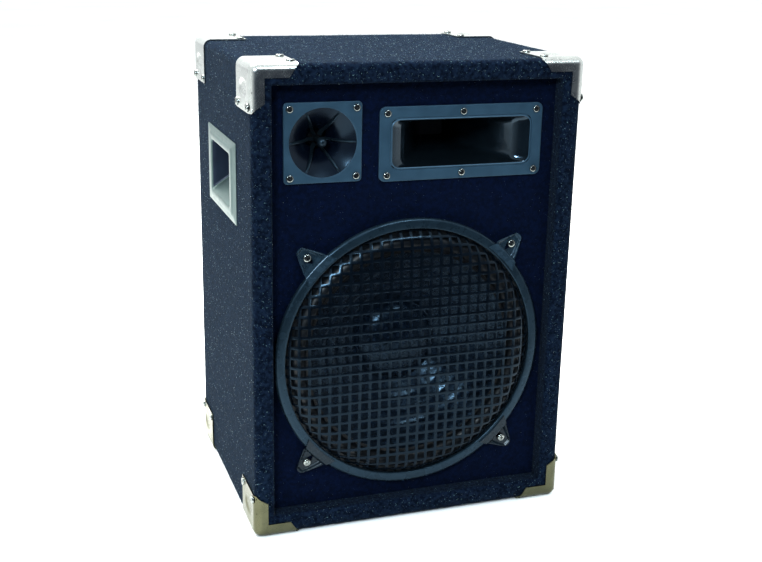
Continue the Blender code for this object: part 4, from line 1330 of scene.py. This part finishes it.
def close_floor(rings, index):
    """Draw the cup's end in to its middle on both faces, so that the shell is closed."""
    def shrunk(ring, share):
        centre = [sum(point[k] for point in ring) / len(ring) for k in range(3)]
        return [[c + (p - c) * share for p, c in zip(point, centre)] for point in ring]

    inner, outer = rings[index], rings[index + 1]
    middle_rings = [shrunk(inner, 0.5), shrunk(inner, 0.02), shrunk(outer, 0.02), shrunk(outer, 0.5)]
    return rings[:index + 1] + middle_rings + rings[index + 1:]


# ---------------------------------------------------------------- rear terminal

def make_terminal():
    """The recessed dish, its screws, the jack's nut, the levers' ribs and the wire holes."""
    low, high = node_box("terminal_plate")
    centre = middle("terminal_plate")
    half = half_size("terminal_plate")
    half_x, half_z = half.x, half.z
    face = WRAP_HIGH.y + 0.1 * MM
    top = high.y
    floor_y = low.y + 1.5 * MM
    mouth_x, mouth_z = 48 * MM, 29 * MM

    def ring(size_x, size_z, radius, y):
        return flat_ring(corner_points(size_x, size_z, radius, 6, 12, 8), centre, y)

    rings = [
        ring(half_x, half_z, 6 * MM, face),
        ring(half_x, half_z, 6 * MM, top - 0.5 * MM),
        ring(half_x - 0.5 * MM, half_z - 0.5 * MM, 6 * MM, top),
        ring(mouth_x + 1.0 * MM, mouth_z + 1.0 * MM, 6 * MM, top),
        ring(mouth_x, mouth_z, 5 * MM, top - 1.0 * MM),
        ring(mouth_x - 2.6 * MM, mouth_z - 2.6 * MM, 5 * MM, floor_y + 2 * MM),
        ring(mouth_x - 4.0 * MM, mouth_z - 4.0 * MM, 4 * MM, floor_y),
        ring(mouth_x * 0.4, mouth_z * 0.3, 2 * MM, floor_y),
        ring(mouth_x * 0.02, mouth_z * 0.02, 0.2 * MM, floor_y),
        ring(mouth_x * 0.02, mouth_z * 0.02, 0.2 * MM, low.y),
        ring(mouth_x * 0.4, mouth_z * 0.3, 2 * MM, low.y),
        ring(mouth_x - 3.0 * MM, mouth_z - 3.0 * MM, 5 * MM, low.y),
        ring(mouth_x + 1.3 * MM, mouth_z + 1.3 * MM, 6 * MM, face - 1 * MM),
    ]
    dish = loft("terminal_dish", rings, sharp=32)
    openings = []
    for lever in ("clip_lever_red", "clip_lever_black"):
        lever_low, lever_high = node_box(lever)
        room = 0.8 * MM
        openings.append(block(
            f"{lever}_opening", (lever_low.x - room, low.y - 5 * MM, lever_low.z - 4 * MM),
            (lever_high.x + room, high.y - 16 * MM, lever_high.z + 2 * MM),
        ))
    jack = middle("input_jack")
    openings.append(turned("jack_opening", [
        (0.0, 10 * MM), (6.2 * MM, 10 * MM), (6.2 * MM, -10 * MM), (0.0, -10 * MM),
    ], (jack.x, floor_y, jack.z), 32, False))
    cut(dish, *openings, sharp=32)
    dress(dish, "black", nodes=["terminal_plate"])
    screw = cross_screw_mesh("terminal_screw", 3.4 * MM, 1.9 * MM)
    picker = random.Random(41)
    for number, (x, z) in enumerate(((-1, 1), (1, 1), (1, -1), (-1, -1)), 1):
        seat = Vector((centre.x + x * (half_x - 5.5 * MM), top, centre.z + z * (half_z - 5.5 * MM)))
        place_screw(f"terminal_screw_{number}", screw, seat, (0, 1, 0), picker.uniform(0, 90))
    for lever, look, body in (
        ("clip_lever_red", "red", "lever_red"), ("clip_lever_black", "black_lever", "lever_black"),
    ):
        make_lever(lever, look, body)
    make_jack(jack, floor_y)


def make_lever(node, look, body):
    """A clip lever with finger ribs on its upper half."""
    low, high = node_box(node)
    lever = block(f"{node}_ribbed", low, high)
    ribs = []
    for number in range(4):
        z = high.z - (3.0 + 2.6 * number) * MM
        ribs.append(block(
            f"rib_{number}", (low.x - MM, high.y - 0.7 * MM, z - 0.6 * MM),
            (high.x + MM, high.y + MM, z + 0.6 * MM),
        ))
    cut(lever, *ribs)
    bevel = lever.modifiers.new("rounded", "BEVEL")
    bevel.width = 0.35 * MM
    bevel.segments = 2
    bevel.limit_method = "ANGLE"
    bevel.angle_limit = math.radians(30)
    settle(lever, 40)
    dress(lever, look, body, [node])


def make_jack(jack, floor_y):
    """The jack's washer and six-sided nut round its bore."""
    high = node_box("input_jack")[1]
    bore = 3.3 * MM
    profile = [
        (bore, high.y - floor_y), (5.0 * MM, high.y - floor_y), (5.5 * MM, high.y - floor_y - 0.5 * MM),
        (5.5 * MM, 2.9 * MM), (7.6 * MM, 2.9 * MM), (7.9 * MM, 2.5 * MM), (7.9 * MM, 0.3 * MM),
        (5.8 * MM, 0.3 * MM), (5.8 * MM, -1.9 * MM), (8.8 * MM, -1.9 * MM), (8.8 * MM, -22 * MM),
        (bore, -22 * MM),
    ]
    socket = turned("input_jack_socket", [(r, -h) for r, h in profile], (jack.x, floor_y, jack.z), 48)
    dress(socket, "black", nodes=["input_jack"])
    nut = turned("input_jack_nut", [
        (5.7 * MM, -3.2 * MM), (8.6 * MM, -3.2 * MM), (9.0 * MM, -2.8 * MM), (9.0 * MM, -0.5 * MM),
        (8.6 * MM, -0.1 * MM), (5.7 * MM, -0.1 * MM),
    ], (jack.x, floor_y, jack.z), 6)
    dress(nut, "screw")


# ---------------------------------------------------------------- carried-over nodes

def repaint_hidden():
    """Paint the CAD nodes that no visual piece replaces."""
    looks = {
        "side_panel_left": "board", "side_panel_right": "board", "top_panel": "board",
        "bottom_panel": "board", "front_baffle": "baffle_board", "rear_panel": "board",
        "woofer_basket": "basket", "woofer_magnet": "ferrite", "woofer_top_plate": "steel",
        "woofer_yoke": "steel", "woofer_voice_coil": "copper",
        "tweeter_driver": "black", "midrange_driver": "black", "crossover_board": "circuit",
        "crossover_coil": "copper", "crossover_capacitor": "black",
    }
    for node, look in looks.items():
        repaint(node, look)


# ---------------------------------------------------------------- studio

FLOOR_FRONT = -0.62


def make_floor():
    """A pale floor that ends in front of the object, so that its front reflects a dim room."""
    floor = block("studio_floor", (-40, FLOOR_FRONT, -0.02), (40, 60, 0.0))
    made, nodes, links = new_material("pale_floor")
    shader = nodes["Principled BSDF"]
    shader.inputs["Roughness"].default_value = 0.9
    shader.inputs["Specular IOR Level"].default_value = 0.1
    tone = noise_node(nodes, links, 3, 2.0)
    colours = ramp_node(nodes, links, tone.outputs["Fac"], [
        (0.3, (0.86, 0.86, 0.86)), (0.7, (0.90, 0.90, 0.90)),
    ])
    links.new(colours.outputs["Color"], shader.inputs["Base Color"])
    floor.data.materials.append(made)


LAMPS = (
    # name, place, the height it looks at, width and height, watts, colour
    ("top_softbox", (-0.4, 0.7, 2.2), 0.3, (1.8, 1.8), 105, (1.0, 1.0, 0.93)),
    ("key_softbox", (-1.15, -1.9, 1.45), 0.25, (0.42, 0.42), 42, (0.80, 0.93, 1.0)),
    ("front_strip", (0.45, -1.5, 1.85), 0.25, (0.9, 0.22), 15, (0.84, 0.95, 1.0)),
)


def make_light(name, place, aim, size, power, colour):
    """A rectangular lamp that looks at a point above the object's place on the floor."""
    lamp = bpy.data.lights.new(name, "AREA")
    lamp.shape = "RECTANGLE"
    lamp.size, lamp.size_y = size
    lamp.energy = power
    lamp.color = colour
    target = (0.0, 0.0, aim)
    made = new_object(name, lamp)
    made.location = place
    made.rotation_euler = (Vector(target) - Vector(place)).to_track_quat("-Z", "Y").to_euler()


ROOM_AHEAD = (0.045, 0.055, 0.075)
ROOM_ROUND = (0.97, 1.0, 1.0)
ROOM_STRENGTH = 1.12
DIM_TO_BRIGHT = (-0.86, -0.28)          # the stretch of the front-back direction where it turns


def make_world():
    """A studio that is bright behind the object and dim behind the camera, and shows as white."""
    world = bpy.data.worlds.new("studio")
    bpy.context.scene.world = world
    world.use_nodes = True
    nodes, links = world.node_tree.nodes, world.node_tree.links
    nodes.clear()
    place = nodes.new("ShaderNodeTexCoord")
    split = nodes.new("ShaderNodeSeparateXYZ")
    links.new(place.outputs["Generated"], split.inputs["Vector"])
    ahead = range_node(nodes, links, split.outputs["Y"], 0.0, 1.0, *DIM_TO_BRIGHT)
    ramp = ramp_node(nodes, links, ahead.outputs["Result"], [(0.0, ROOM_AHEAD), (1.0, ROOM_ROUND)])
    room = nodes.new("ShaderNodeBackground")
    room.inputs["Strength"].default_value = ROOM_STRENGTH
    links.new(ramp.outputs["Color"], room.inputs["Color"])
    shown = nodes.new("ShaderNodeBackground")
    shown.inputs["Color"].default_value = (1.0, 1.0, 1.0, 1.0)
    shown.inputs["Strength"].default_value = 1.0
    path = nodes.new("ShaderNodeLightPath")
    mix = nodes.new("ShaderNodeMixShader")
    links.new(path.outputs["Is Camera Ray"], mix.inputs["Fac"])
    links.new(room.outputs["Background"], mix.inputs[1])
    links.new(shown.outputs["Background"], mix.inputs[2])
    output = nodes.new("ShaderNodeOutputWorld")
    links.new(mix.outputs["Shader"], output.inputs["Surface"])


CAMERA_PLACE = (-0.44115, -1.28961, 0.65630)
CAMERA_AIM = (0.31488, 0.90325, -0.29152)
CAMERA_UP = (0.07645, 0.28201, 0.95636)
CAMERA_LENS = 55.43


def make_camera():
    """The camera that was fitted to the photograph."""
    data = bpy.data.cameras.new("photo_view")
    data.lens = CAMERA_LENS
    data.sensor_width = 36
    made = new_object("photo_view", data)
    aim, up = Vector(CAMERA_AIM).normalized(), Vector(CAMERA_UP).normalized()
    right = aim.cross(up).normalized()
    turn = Matrix((right, right.cross(aim), -aim)).transposed().to_4x4()
    made.matrix_world = Matrix.Translation(CAMERA_PLACE) @ turn
    bpy.context.scene.camera = made


EXPOSURE = 0.30
GAMMA = 0.80


def make_studio():
    picture = bpy.context.scene.view_settings
    picture.view_transform = "Standard"
    picture.exposure = EXPOSURE
    picture.gamma = GAMMA
    make_camera()
    make_world()
    make_floor()
    for lamp in LAMPS:
        make_light(*lamp)


def main():
    make_studio()
    carpet = make_carpet()
    make_fibres(carpet)
    make_baffle_carpet()
    make_protectors()
    make_baffle_screws()
    make_tweeter()
    make_midrange()
    make_grille()
    make_ring()
    make_clamps()
    make_cone()
    make_surround()
    make_spider()
    make_gasket()
    make_handle("left", -1)
    make_handle("right", 1)
    make_terminal()
    repaint_hidden()


main()
